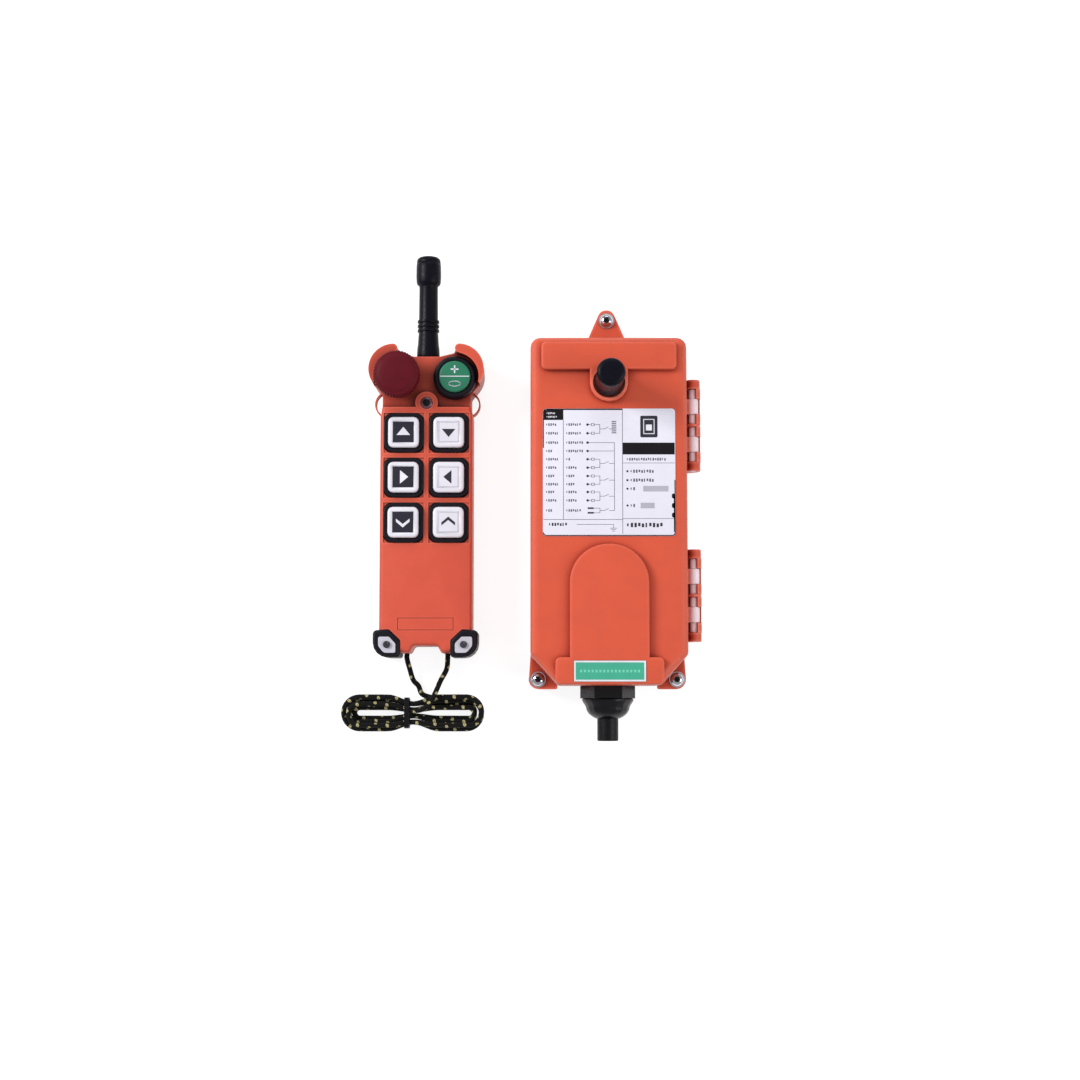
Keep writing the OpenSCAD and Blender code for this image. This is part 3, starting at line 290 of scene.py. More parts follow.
@dataclass(frozen=True)
class Braid:
    """A braided cord: a crossing weave round and along it, with light tracer flecks."""

    name: str
    colour: Colour = (15, 14, 14)
    tracer: Colour = (192, 182, 134)
    turns_round: float = 8.0
    pick_mm: float = 1.5
    fleck_mm: Place = (9.5, 6.1)
    fleck_range: Place = (1.22, 1.42)
    weave_deep_mm: float = 0.25
    fuzz_mm: float = 0.25
    fuzz_deep_mm: float = 0.06

    def build(self) -> bpy.types.Material:
        """Make the material. Its UV map runs 0 to 1 round the cord, and along it in millimetres."""
        g = Graph(self.name, self.colour, 0.85)
        split = g.add("ShaderNodeSeparateXYZ", {0: g.add("ShaderNodeUVMap", uv_map="cord").outputs[0]})
        across, along = split.outputs[0], split.outputs[1]

        def wave(sign: float, per_turn: float, pitch_mm: float) -> Socket:
            """A wave round the cord, -1 to 1, by its hand, its number round it and its pitch along it."""
            turn = g.calc("MULTIPLY", across, sign * per_turn * math.tau)
            return g.calc("SINE", g.calc("MULTIPLY_ADD", along, math.tau / pitch_mm, turn))

        strands = self.turns_round / 2
        weave = g.calc("MAXIMUM", wave(1, strands, self.pick_mm), wave(-1, strands, self.pick_mm))
        height = g.span(weave, 0, 1, (-0.4, 1))
        flecks = g.calc("ADD", wave(1, 1, self.fleck_mm[0]), wave(-1, 1, self.fleck_mm[1]))
        mask = g.span(flecks, 0, 1, self.fleck_range)
        strand = g.calc("MULTIPLY", mask, g.span(weave, 0.35, 1, (-0.6, 0.4)))
        # Painted shade and highlight: the weave is darker in its hollows and lighter on the strands' crowns
        dark = g.blend(height, shade(self.colour, 0.55), shade(self.colour, 1.25))
        g.set(g.shader, {"Base Color": g.blend(strand, dark, self.tracer), "Sheen Weight": 0.06,
                         "Sheen Roughness": 0.5, "Specular IOR Level": 0.15})
        g.bump(height, self.weave_deep_mm)
        g.bump(g.noise(self.fuzz_mm, 2), self.fuzz_deep_mm)
        return g.material


class Look(Enum):
    """Every finish of the object, by the name of its material slot in the record."""

    # The handset and receiver plastics carry painted shade in their creases and painted highlights on their
    # edges
    HANDSET = ("handset_plastic", Moulded("handset orange", (209, 86, 66), 0.4, 0.55, 0.014, 0.008, 0.25,
                                          painted_crease_shade=(92, 22, 18), painted_crease_shade_mm=14.0, painted_edge_highlight=(232, 110, 88)))
    RECEIVER = ("receiver_plastic", Moulded("receiver orange", (214, 88, 62), 0.36, 0.7, 0.012, 0.008, 0.28,
                                            painted_crease_shade=(150, 42, 26), painted_edge_highlight=(248, 130, 108), painted_edge_highlight_mm=1.9))
    RUBBER = ("rubber", Moulded("black rubber", (16, 14, 24), 0.45, 0.4, 0.02, 0.04, 0.2))
    STEEL = ("steel", Metal("plated steel", (186, 188, 196)))
    CHROME = ("chrome_steel", Metal("polished steel", (206, 204, 212), 0.12, 0.4))
    CELL = ("cell_wrap", Moulded("cell sleeve", (52, 84, 132), 0.22, 0.8, 0.004))
    BOARD = ("board", Moulded("circuit board", (28, 92, 48), 0.35, 0.9, 0.02, 0.08))
    BLACK = ("black_plastic", Moulded("black plastic", (14, 14, 19), 0.4, 0.5, 0.01, 0.03, 0.2))
    TIN = ("tin", Metal("tinned can", (180, 180, 184), 0.3))
    AERIAL = ("aerial_rubber", Moulded("aerial rubber", (12, 11, 22), 0.36, 0.6, 0.014, 0.04, 0.11))
    BRASS = ("brass", Metal("turned brass", (190, 154, 84), 0.25))
    SCREW = ("steel", Metal("blackened steel", (92, 90, 100), 0.3))
    LED = ("led", Moulded("clear lamp", (216, 216, 206), 0.15, 0.8, 0.002))
    LENS = ("lens", Moulded("dark lens", (104, 66, 78), 0.15, 0.9, 0.002))
    START = ("start_green", Moulded("start green", (34, 118, 88), 0.35, 0.5, 0.008))
    STOP = ("stop_red", Moulded("stop red", (92, 20, 31), 0.5, 0.5, 0.014, 0.03, 0.08))
    CAP = ("cap_white", Moulded("cap white", (224, 222, 232), 0.3, 0.6, 0.006, 0.012))
    PLATE_DARK = ("plate_dark", Moulded("dark insert", (40, 38, 50), 0.35, 0.5, 0.006, 0.02, 0.3))
    PLATE_WHITE = ("plate_white", Moulded("white insert", (222, 220, 231), 0.35, 0.5, 0.006, 0.012))
    SILVER = ("plate_metal", Moulded("silver plate", (200, 198, 210), 0.3, 0.4, 0.006, 0.02, 0.6))
    CORD = ("cord", Braid("braided cord"))
    TIE = ("tie_plastic", Moulded("tie band", (12, 11, 17), 0.38, 0.5, 0.01, 0.03, 0.2))
    # The faint pink in this white is painted reflection of the orange case
    WHITE = ("white_plastic", Moulded("hinge white", (252, 230, 236), 0.36, 0.6, 0.008, 0.015))
    LABEL = ("label_white", Moulded("label film", (230, 228, 241), 0.3, 0.5, 0.002, 0.008))
    GREEN = ("label_green", Moulded("green film", (66, 171, 141), 0.32, 0.5, 0.002, 0.015))
    GLAND = ("gland_plastic", Moulded("gland nylon", (11, 10, 16), 0.26, 0.5, 0.008, 0.04, 0.28))
    CABLE = ("cable", Moulded("cable sheath", (12, 11, 17), 0.38, 0.7, 0.02, 0.05, 0.18))
    RELAY = ("relay_plastic", Moulded("relay case", (228, 226, 216), 0.35, 0.6, 0.006))

    @property
    def slot(self) -> str:
        """The record's material slot."""
        return self.value[0]

    def material(self) -> bpy.types.Material:
        """The Blender material, made on first use."""
        return bpy.data.materials.get(self.value[1].name) or self.value[1].build()


class Print(Enum):
    """Ink colours of the generic markings."""

    DARK = Moulded("dark ink", (36, 36, 50), 0.4, 0.5, 0.001)
    PALE = Moulded("pale ink", (226, 226, 236), 0.4, 0.5, 0.001)
    GREY = Moulded("grey ink", (92, 92, 106), 0.4, 0.5, 0.001)
    FAINT = Moulded("faint ink", (178, 176, 190), 0.4, 0.5, 0.001)
    BLACK = Moulded("black ink", (22, 18, 24), 0.4, 0.5, 0.001, 0.03, 0.2)
    MINT = Moulded("mint ink", (112, 208, 178), 0.4, 0.5, 0.001)

    def material(self) -> bpy.types.Material:
        """The Blender material, made on first use."""
        return bpy.data.materials.get(self.value.name) or self.value.build()


def bevel(bm: bmesh.types.BMesh, edges: Iterable, width: float, segments: int) -> None:
    """Round edges of a bmesh.

    Args:
        bm: The bmesh.
        edges: The edges to round.
        width: Width of the rounding.
        segments: Facets across it.
    """
    bmesh.ops.bevel(bm, geom=list(edges), offset=width, offset_type="OFFSET", segments=segments, profile=0.5,
                    affect="EDGES", clamp_overlap=True, material=-1)


class Shape:
    """A mesh being built in millimetres, on a bmesh."""

    def __init__(self) -> None:
        """Start an empty shape."""
        self.bm = bmesh.new()

    def box(self, size: Point, at: Point) -> list[bmesh.types.BMVert]:
        """Add a box by its three sides and its middle, and return its vertices."""
        matrix = Matrix.Translation(at) @ Matrix.Diagonal((*size, 1))
        return bmesh.ops.create_cube(self.bm, size=1, matrix=matrix)["verts"]

    def take(self, other: bmesh.types.BMesh) -> list[bmesh.types.BMVert]:
        """Add another bmesh and free it.

        Args:
            other: The bmesh to add.

        Returns:
            The new vertices.
        """
        mesh = bpy.data.meshes.new("tmp")
        other.to_mesh(mesh)
        other.free()
        before = len(self.bm.verts)
        self.bm.from_mesh(mesh)
        bpy.data.meshes.remove(mesh)
        self.bm.verts.ensure_lookup_table()
        return list(self.bm.verts[before:])

    def lathe(self, profile: Sequence[Place], at: Point = ORIGIN, axis: Point = UPRIGHT,
              steps: int = 64) -> list:
        """Add a turned body.

        Args:
            profile: Radius and height of each point, from one end to the other.
            at: Where the profile's height 0 lies.
            axis: Direction of its axis.
            steps: Facets round it.

        Returns:
            The new vertices.
        """
        own = bmesh.new()
        line = [own.verts.new((r, 0, h)) for r, h in profile]
        edges = [own.edges.new(pair) for pair in zip(line, line[1:])]
        bmesh.ops.spin(own, geom=line + edges, cent=ORIGIN, axis=UPRIGHT, angle=math.tau, steps=steps,
                       use_merge=True)
        bmesh.ops.remove_doubles(own, verts=own.verts, dist=1e-4)
        holes = [e for e in own.edges if len(e.link_faces) == 1]
        if holes:
            bmesh.ops.holes_fill(own, edges=holes, sides=0)
        bmesh.ops.recalc_face_normals(own, faces=own.faces)
        turn = Vector(UPRIGHT).rotation_difference(Vector(axis)).to_matrix().to_4x4()
        bmesh.ops.transform(own, matrix=Matrix.Translation(at) @ turn, verts=own.verts)
        return self.take(own)

    def prism(self, outline: Sequence[Place], low: float, high: float, edge: float = 0.0) -> list:
        """Add an upright prism.

        Args:
            outline: Its outline, anticlockwise.
            low: Height of its underside.
            high: Height of its top.
            edge: Rounding of its top edge.

        Returns:
            The new vertices.
        """
        own = bmesh.new()
        face = own.faces.new([own.verts.new((x, y, low)) for x, y in outline])
        made = bmesh.ops.extrude_face_region(own, geom=[face])["geom"]
        top = [v for v in made if isinstance(v, bmesh.types.BMVert)]
        bmesh.ops.translate(own, vec=(0, 0, high - low), verts=top)
        bmesh.ops.recalc_face_normals(own, faces=own.faces)
        if edge > 0:
            bevel(own, [e for e in own.edges if min(v.co.z for v in e.verts) > high - 1e-5], edge, 3)
        return self.take(own)

    def lying_prism(self, outline: Sequence[Place], low: float, high: float) -> None:
        """Add a prism that lies lengthwise, its outline given as width and height."""
        verts = self.prism(outline, 0, high - low)
        self.move(Matrix.Translation((0, high, 0)) @ Matrix.Rotation(math.pi / 2, 4, "X"), verts)

    def move(self, matrix: Matrix, verts: Iterable | None = None) -> None:
        """Transform the vertices that are given, or all."""
        bmesh.ops.transform(self.bm, matrix=matrix, verts=list(verts or self.bm.verts))


def add_object(name: str, data: bpy.types.ID) -> bpy.types.Object:
    """Put a mesh, a camera or a lamp in the scene.

    Args:
        name: The object's name.
        data: What it holds.

    Returns:
        The new object.
    """
    obj = bpy.data.objects.new(name, data)
    bpy.context.collection.objects.link(obj)
    return obj


def add_mesh(name: str, bm: bmesh.types.BMesh) -> bpy.types.Object:
    """Put a bmesh in the scene and free it.

    Args:
        name: The object's name.
        bm: Its shape.

    Returns:
        The new object.
    """
    mesh = bpy.data.meshes.new(name)
    bm.to_mesh(mesh)
    bm.free()
    return add_object(name, mesh)


def finish(obj: bpy.types.Object, material: bpy.types.Material, angle: float) -> None:
    """Give a piece its material and smooth shading below an angle.

    Args:
        obj: The piece.
        material: Its material.
        angle: Edges sharper than this many degrees stay sharp.
    """
    obj.data.materials.clear()
    obj.data.materials.append(material)
    for polygon in obj.data.polygons:
        polygon.use_smooth = True
    obj.data.set_sharp_from_angle(angle=math.radians(angle))


def piece(name: str, shape: Shape, look: Look | Print, at: Point, angle: float = 40, body: str = "housing",
          stands_for: str = "") -> None:
    """Make a shape a piece that rides on a body.

    Args:
        name: The piece's name.
        shape: Its shape, in millimetres.
        look: Its finish.
        at: Where the shape's own origin lies in the part, in millimetres.
        angle: Edges sharper than this many degrees stay sharp.
        body: The body it rides on.
        stands_for: The CAD node that it replaces, if any.
    """
    shape.move(Matrix.Scale(MM, 4) @ Matrix.Translation(at))
    obj = add_mesh(name, shape.bm)
    finish(obj, look.material(), angle)
    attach(obj, body)
    if stands_for:
        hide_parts(stands_for)
    log.info("%s: %d faces", name, len(obj.data.polygons))


def dress(node: str, look: Look, round_mm: float = 0.0, angle: float = 32, segments: int = 2,
          body: str = "housing") -> bpy.types.Object:
    """Replace a CAD node by a merged, smoothed and softened copy of itself.

    Args:
        node: The node.
        look: Its finish.
        round_mm: Width of the rounding on its sharp edges, or 0.
        angle: Edges sharper than this many degrees are rounded and stay sharp.
        segments: Facets across the rounding.
        body: The body it rides on.

    Returns:
        The new object.
    """
    own = bmesh.new()
    own.from_mesh(bpy.data.objects[node].data)
    bmesh.ops.remove_doubles(own, verts=own.verts, dist=2e-6)
    bmesh.ops.dissolve_limit(own, angle_limit=math.radians(0.6), verts=own.verts, edges=own.edges,
                             delimit={"NORMAL"})
    obj = add_mesh(node + "_dressed", own)
    finish(obj, look.material(), angle)
    if round_mm:
        rounding = obj.modifiers.new("rounding", "BEVEL")
        rounding.width = round_mm * MM
        rounding.segments = segments
        rounding.limit_method = "ANGLE"
        rounding.angle_limit = math.radians(angle)
        rounding.harden_normals = False
    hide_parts(node)
    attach(obj, body)
    log.info("%s: %d faces", obj.name, len(obj.data.polygons))
    return obj


def paint(node: str, look: Look) -> None:
    """Give a CAD node that stays as it is its finish.

    Args:
        node: The node.
        look: Its finish.
    """
    data = bpy.data.objects[node].data
    data.materials.clear()
    data.materials.append(look.material())
    log.info("%s: kept", node)


@dataclass
class Studio:
    """The floor, lamps and camera."""

    target_mm: Point = (4.05, -29.8, 40)
    distance_mm: float = 1130
    elevation: float = 85
    frame_mm: float = 658.8
    sensor_mm: float = 36
    floor_half_mm: float = 4000
    floor_z_mm: float = -0.02

    def camera(self) -> None:
        """Add the camera at the photograph's angle."""
        data = bpy.data.cameras.new("camera")
        data.sensor_width = self.sensor_mm
        data.lens = self.sensor_mm * self.distance_mm / self.frame_mm
        data.clip_start = 0.05
        data.clip_end = 20
        obj = add_object("camera", data)
        tilt = math.radians(90 - self.elevation)
        back = Vector((0, -math.sin(tilt), math.cos(tilt))) * self.distance_mm
        obj.location = (Vector(self.target_mm) + back) * MM
        obj.rotation_euler = (tilt, 0, 0)
        bpy.context.scene.camera = obj

    def floor(self) -> None:
        """Add the pale floor, which looks white and keeps the object's shadow."""
        shape = Shape()
        bmesh.ops.create_grid(shape.bm, x_segments=1, y_segments=1, size=self.floor_half_mm)
        shape.move(Matrix.Scale(MM, 4) @ Matrix.Translation((0, 0, self.floor_z_mm)))
        obj = add_mesh("floor", shape.bm)
        g = Graph("floor", (150, 150, 152), 0.9)
        g.set(g.shader, {"Specular IOR Level": 0.1, "Emission Color": (1, 1, 1, 1)})
        ray = g.add("ShaderNodeLightPath").outputs
        seen = g.calc("MAXIMUM", ray["Is Camera Ray"], ray["Is Glossy Ray"])
        seen = g.calc("MAXIMUM", seen, ray["Is Transmission Ray"])
        g.set(g.shader, {"Emission Strength": g.span(seen, 0, 0.86, (0, 1))})
        obj.data.materials.append(g.material)

    def lamp(self, name: str, at: Point, size: float, power: float) -> None:
        """Add a soft area lamp that faces the object.

        Args:
            name: The lamp's name.
            at: Where it stands, in metres.
            size: Side of its square, in metres.
            power: Its power in watts.
        """
        data = bpy.data.lights.new(name, "AREA")
        data.size = size
        data.energy = power
        obj = add_object(name, data)
        obj.location = at
        obj.rotation_euler = (-Vector(at)).to_track_quat("-Z", "Y").to_euler()

    def light(self) -> None:
        """Add the lamps and the pale world, which lights less than it shows."""
        self.lamp("key", (-1.25, 0.5, 0.95), 0.6, 20)
        self.lamp("fill", (1.25, -0.4, 0.95), 1.0, 10)
        self.lamp("back", (0.1, 1.3, 0.8), 0.8, 3)
        world = bpy.data.worlds.new("studio")
        world.use_nodes = True
        bpy.context.scene.world = world
        tree = world.node_tree
        ray = tree.nodes.new("ShaderNodeLightPath")
        strength = tree.nodes.new("ShaderNodeMapRange")
        strength.inputs[3].default_value = 0.46
        strength.inputs[4].default_value = 1.0
        tree.links.new(ray.outputs["Is Camera Ray"], strength.inputs[0])
        tree.links.new(strength.outputs[0], tree.nodes["Background"].inputs["Strength"])
        tree.nodes["Background"].inputs["Color"].default_value = (1, 1, 1, 1)
        bpy.context.scene.view_settings.view_transform = "Standard"

    def build(self) -> None:
        """Set the whole studio up."""
        self.camera()
        self.floor()
        self.light()


def rounded_outline(wide: float, long: float, r: float, at: Place = (0, 0), steps: int = 8) -> list[Place]:
    """Outline a rectangle with rounded corners, anticlockwise.

    Args:
        wide: Width.
        long: Length.
        r: Radius of its corners.
        at: Its middle.
        steps: Facets for each corner.

    Returns:
        The outline's points.
    """
    points = []
    for k, (sx, sy) in enumerate(CORNERS):
        middle = (at[0] + sx * (wide / 2 - r), at[1] + sy * (long / 2 - r))
        points += arc(middle, r, fan(90 * k, 90 * (k + 1), steps))
    return points


@dataclass
class Marks:
    """Flat printed marks on one face, gathered by ink."""

    z: float
    at: Point
    thick: float = 0.05
    shapes: dict[Print, Shape] = field(default_factory=dict)

    def ink(self, ink: Print) -> Shape:
        """The shape that gathers an ink's marks."""
        return self.shapes.setdefault(ink, Shape())

    def bar(self, ink: Print, x0: float, y0: float, x1: float, y1: float) -> None:
        """Add a filled rectangle from its lower left corner to its upper right one."""
        size = (abs(x1 - x0), abs(y1 - y0), self.thick)
        self.ink(ink).box(size, ((x0 + x1) / 2, (y0 + y1) / 2, self.z + self.thick / 2))

    def frame(self, ink: Print, x0: float, y0: float, x1: float, y1: float, line: float) -> None:
        """Add the four lines of a rectangle.

        Args:
            ink: Its ink.
            x0: Left side.
            y0: Lower side.
            x1: Right side.
            y1: Upper side.
            line: Width of the lines.
        """
        self.bar(ink, x0, y0, x1, y0 + line)
        self.bar(ink, x0, y1 - line, x1, y1)
        self.bar(ink, x0, y0 + line, x0 + line, y1 - line)
        self.bar(ink, x1 - line, y0 + line, x1, y1 - line)

    def line(self, ink: Print, a: Place, b: Place, width: float) -> None:
        """Add a straight line.

        Args:
            ink: Its ink.
            a: One end.
            b: The other end.
            width: Its width.
        """
        run = Vector((b[0] - a[0], b[1] - a[1], 0))
        shape = self.ink(ink)
        verts = shape.box((run.length + width * 0.6, width, self.thick), (0, 0, self.z + self.thick / 2))
        turn = Matrix.Rotation(math.atan2(run.y, run.x), 4, "Z")
        shape.move(Matrix.Translation(((a[0] + b[0]) / 2, (a[1] + b[1]) / 2, 0)) @ turn, verts)

    def patch(self, ink: Print, outline: Sequence[Place]) -> None:
        """Add a filled outline, given anticlockwise."""
        self.ink(ink).prism(outline, self.z, self.z + self.thick)

    def build(self, name: str, body: str, slot: str) -> None:
        """Make a piece of each ink's marks, named after the ink."""
        for ink, shape in self.shapes.items():
            piece(f"{name}_{ink.name.lower()}", shape, ink, self.at, body=body)


@dataclass
class Lanyard:
    """The wrist lanyard: one cord from hole to hole, piled in a hank with a tie round its waist."""

    cord_d: float = 3.2
    hole_x: float = 12.7
    hole_y: float = 2.8
    hole_z: float = 7.0
    hole_deep: float = 6.0
    # The hank's middle, and half its length and width on the cord's line
    centre: Place = (-8.5, -34.0)
    half: float = 43.4
    bend: float = 9.9
    lift_off: float = 0.65
    # From one turn to the next, and from one layer of four runs to the next
    turn_step: float = 4.4
    layer_step: float = 3.8
    # How far from the middle the outer and the inner runs lie at the tie, and half the drawn-in stretch
    waist: Place = (5.62, 1.86)
    waist_l: float = 16.0
    runs: int = 11
    start_x: float = 16.0
    end_x: float = -7.0
    lead_turn: float = 6.8
    sides: int = 18
    run_steps: int = 24
    bend_steps: int = 16
    lead_steps: int = 8

    def off(self, run: int) -> float:
        """How many turns inside the outer one a run lies."""
        layer, place = divmod(run, 4)
        return place / 2 if layer % 2 == 0 else (3 - place) / 2

    def height(self, run: int) -> float:
        """Height of a run's middle line."""
        return self.cord_d / 2 + self.lift_off + run // 4 * self.layer_step

    def drawn(self, run: int, x: float) -> float:
        """How far from the middle a run lies at a place along the hank.

        Args:
            run: The run's number.
            x: The place.

        Returns:
            Its distance from the hank's middle line.
        """
        wide = self.bend - self.off(run) * self.turn_step
        narrow = self.waist[0 if self.off(run) < 0.9 else 1]
        t = min(abs(x) / self.waist_l, 1)
        return wide - (wide - narrow) * (1 + math.cos(math.pi * t)) / 2

    def run_point(self, run: int, t: float) -> Vector:
        """A point of a straight run.

        Args:
            run: The run's number.
            t: Share of its length.

        Returns:
            The point, from the hank's middle.
        """
        side = 1 if run % 2 == 0 else -1
        far = self.half - self.bend
        x0 = self.start_x if run == 0 else -side * far
        x1 = self.end_x if run == self.runs - 1 else side * far
        x = x0 + (x1 - x0) * t
        return Vector((x, side * self.drawn(run, x), self.height(run)))

    def bend_point(self, run: int, t: float) -> Vector:
        """A point of the half turn after a run.

        Args:
            run: The run's number.
            t: Share of the turn.

        Returns:
            The point, from the hank's middle.
        """
        side = 1 if run % 2 == 0 else -1
        r = self.bend - self.turn_step * (self.off(run) + (self.off(run + 1) - self.off(run)) * t)
        a = math.pi / 2 - math.pi * t
        x, low = self.half - self.bend + r * math.cos(a), self.height(run)
        rise = (self.height(run + 1) - low) * (1 - math.cos(math.pi * t)) / 2
        return Vector((side * x, side * r * math.sin(a), low + rise))

    def hank(self) -> list[Vector]:
        """The hank's line, run by run, in the handset's own place."""
        line = []
        for run in range(self.runs):
            line += [self.run_point(run, i / self.run_steps) for i in range(self.run_steps + 1)]
            if run < self.runs - 1:
                line += [self.bend_point(run, i / self.bend_steps) for i in range(1, self.bend_steps)]
        return [p + Vector((*self.centre, 0)) for p in line]

    @staticmethod
    def through(points: Sequence[Vector], steps: int) -> list[Vector]:
        """Draw a smooth line through points.

        Args:
            points: The points.
            steps: Steps between two of them.

        Returns:
            The line's points.
        """
        line = []
        for i in range(len(points) - 1):
            a, b, c = points[max(i - 1, 0)], points[i], points[i + 1]
            d = points[min(i + 2, len(points) - 1)]
            for k in range(steps):
                t = k / steps
                point = 2 * b + (c - a) * t
                point += (2 * a - 5 * b + 4 * c - d) * t * t
                point += (3 * b - a - 3 * c + d) * t ** 3
                line.append(point / 2)
        return line + [points[-1]]

    def route(self) -> list[Vector]:
        """The whole cord's line, from the left hole to the right one, in the handset's own place."""
        hank = self.hank()
        first, last = hank[0], hank[-1]
        way_in = (hank[1] - hank[0]).normalized() * self.cord_d
        way_out = (hank[-1] - hank[-2]).normalized() * self.cord_d
        inside, mouth, out = self.hole_y + self.hole_deep - 0.5, self.hole_y, self.hole_y - self.cord_d
        arrive = first - 2 * way_in
        left = [Vector((-self.hole_x, y, self.hole_z)) for y in (inside, mouth, out)]
        left += [Vector((-11, -7, 5.2)), Vector((-9, -13.5, 3.2))]
        left += [arrive + self.lead_turn * Vector(way) for way in ((-1, 1, 0.05), (-0.7, 0.3, 0.01))]
        left += [arrive, first - way_in, first]
        right = [last, last + way_out, last + 2 * way_out + Vector((0, 0, 0.6))]
        right += [Vector(p) for p in ((-1.5, -31.3, 14), (3.5, -25.5, 14), (8.5, -14, 10.5), (12, -7, 7.6))]
        right += [Vector((self.hole_x, y, self.hole_z)) for y in (out, mouth, inside)]
        return self.through(left, self.lead_steps)[:-1] + hank + self.through(right, self.lead_steps)[1:]

    def tube(self, line: Sequence[Vector]) -> bpy.types.Object:
        """Sweep the cord along its line, with a UV map that runs round and along it.

        Args:
            line: The line's points, in metres.

        Returns:
            The cord.
        """
        own = bmesh.new()
        chart = own.loops.layers.uv.new("cord")
        angles = fan(0, 360, self.sides)[:-1]
        normal = Vector(UPRIGHT)
        rings, along = [], [0.0]
        for i, point in enumerate(line):
            way = (line[min(i + 1, len(line) - 1)] - line[max(i - 1, 0)]).normalized()
            normal = (normal - way * normal.dot(way)).normalized()
            cross = way.cross(normal)
            if i:
                along.append(along[-1] + (point - line[i - 1]).length / MM)
            spokes = [math.cos(a) * normal + math.sin(a) * cross for a in angles]
            rings.append([own.verts.new(point + self.cord_d / 2 * MM * spoke) for spoke in spokes])
        for i, (ring, after) in enumerate(zip(rings, rings[1:])):
            for k in range(self.sides):
                j = (k + 1) % self.sides
                face = own.faces.new((ring[k], ring[j], after[j], after[k]))
                corners = ((k, i), (k + 1, i), (k + 1, i + 1), (k, i + 1))
                for loop, (side, place) in zip(face.loops, corners):
                    loop[chart].uv = (side / self.sides, along[place])
        for ring in (rings[0], rings[-1]):
            own.faces.new(ring)
        bmesh.ops.recalc_face_normals(own, faces=own.faces)
        obj = add_mesh("lanyard_cord", own)
        finish(obj, Look.CORD.material(), 60)
        return obj

    def build(self) -> None:
        line = [(p + Vector(HANDSET)) * MM for p in self.route()]
        tie = dress("hank_tie", Look.TIE, 0.35)
        cord = self.tube(line)
        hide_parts("lanyard_left_lead", "lanyard_hank", "lanyard_right_lead")
        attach(cord, "housing")


HEAD = ((-1, -0.45), (1, -0.45), (0, 0.75))
CHEVRON = ((-1, -0.5), (0, 0.3), (1, -0.5), (1, -0.05), (0, 0.8), (-1, -0.05))


class Mark(Enum):
    """The six push buttons: each one's name, its mark's outline and the outline's turn in degrees."""

    UP = ("up", HEAD, 0)
    DOWN = ("down", HEAD, 180)
    EAST = ("east", HEAD, -90)
    WEST = ("west", HEAD, 90)
    SOUTH = ("south", CHEVRON, 180)
    NORTH = ("north", CHEVRON, 0)

    def outline(self, size: float) -> list[Place]:
        """Outline the mark.

        Args:
            size: Half its width before it is turned.

        Returns:
            Its points, anticlockwise.
        """
        a = math.radians(self.value[2])
        c, s = size * math.cos(a), size * math.sin(a)
        return [(x * c - y * s, x * s + y * c) for x, y in self.value[1]]


@dataclass
class Keys:
    """The six push buttons in their rubber boots, each with a printed insert."""

    x: float = 13.95
    rows: tuple[float, float, float] = (138.6, 110.7, 82.8)
    top: float = 34.1
    mark: float = 4.2
    frame: float = 6.05
    well: float = 12.44
    well_corner: float = 4.9
    well_z: float = 28.05
    skirt_z: float = 29.2
    fillet_z: float = 29.0
    boot_at: float = 6.75
    boot_corner: float = 5.76
    columns: tuple = ((Mark.UP, Mark.EAST, Mark.SOUTH), (Mark.DOWN, Mark.WEST, Mark.NORTH))

    def skirts(self) -> None:
        """Fill the wells' corners round the boots with rubber skirts, and round the corners themselves."""
        skirts, fillets = Shape(), Shape()
        quarter = fan(0, 90, 8)
        middle = self.well - self.well_corner
        outer = arc((middle, middle), self.well_corner, quarter)
        skirt = arc((self.boot_at, self.boot_at), self.boot_corner, quarter)[::-1] + outer
        fillet = [(self.well, self.well), *outer[::-1]]
        for side, row, (sx, sy) in product(SIDES, self.rows, CORNERS):
            for shape, line, top in ((skirts, skirt, self.skirt_z), (fillets, fillet, self.fillet_z)):
                points = [(side * self.x + sx * x, row + sy * y) for x, y in line]
                shape.prism(points, self.well_z, top)
        piece("keypad_skirts", skirts, Look.RUBBER, HANDSET, 35)
        piece("keypad_well_fillets", fillets, Look.HANDSET, HANDSET, 35)

    def build(self) -> None:
        """Dress the buttons and print their marks."""
        dress("button_boots", Look.RUBBER, 0.5, 40, 3)
        self.skirts()
        inserts = (Look.PLATE_DARK, Look.PLATE_WHITE)
        for side, column, insert, ink in zip(SIDES, self.columns, inserts, (Print.PALE, Print.DARK)):
            for mark, y in zip(column, self.rows):
                name = mark.value[0]
                body = name + "_key"
                dress(name + "_button", Look.CAP, 0.0, 50, body=body)
                dress(name + "_plate", insert, 0.12, body=body)
                marks = Marks(self.top, on(HANDSET, side * self.x, y))
                if insert is Look.PLATE_WHITE:
                    marks.frame(Print.FAINT, -self.frame, -self.frame, self.frame, self.frame, 0.3)
                marks.patch(ink, mark.outline(self.mark))
                marks.build(name + "_mark", body, "plate_dark")


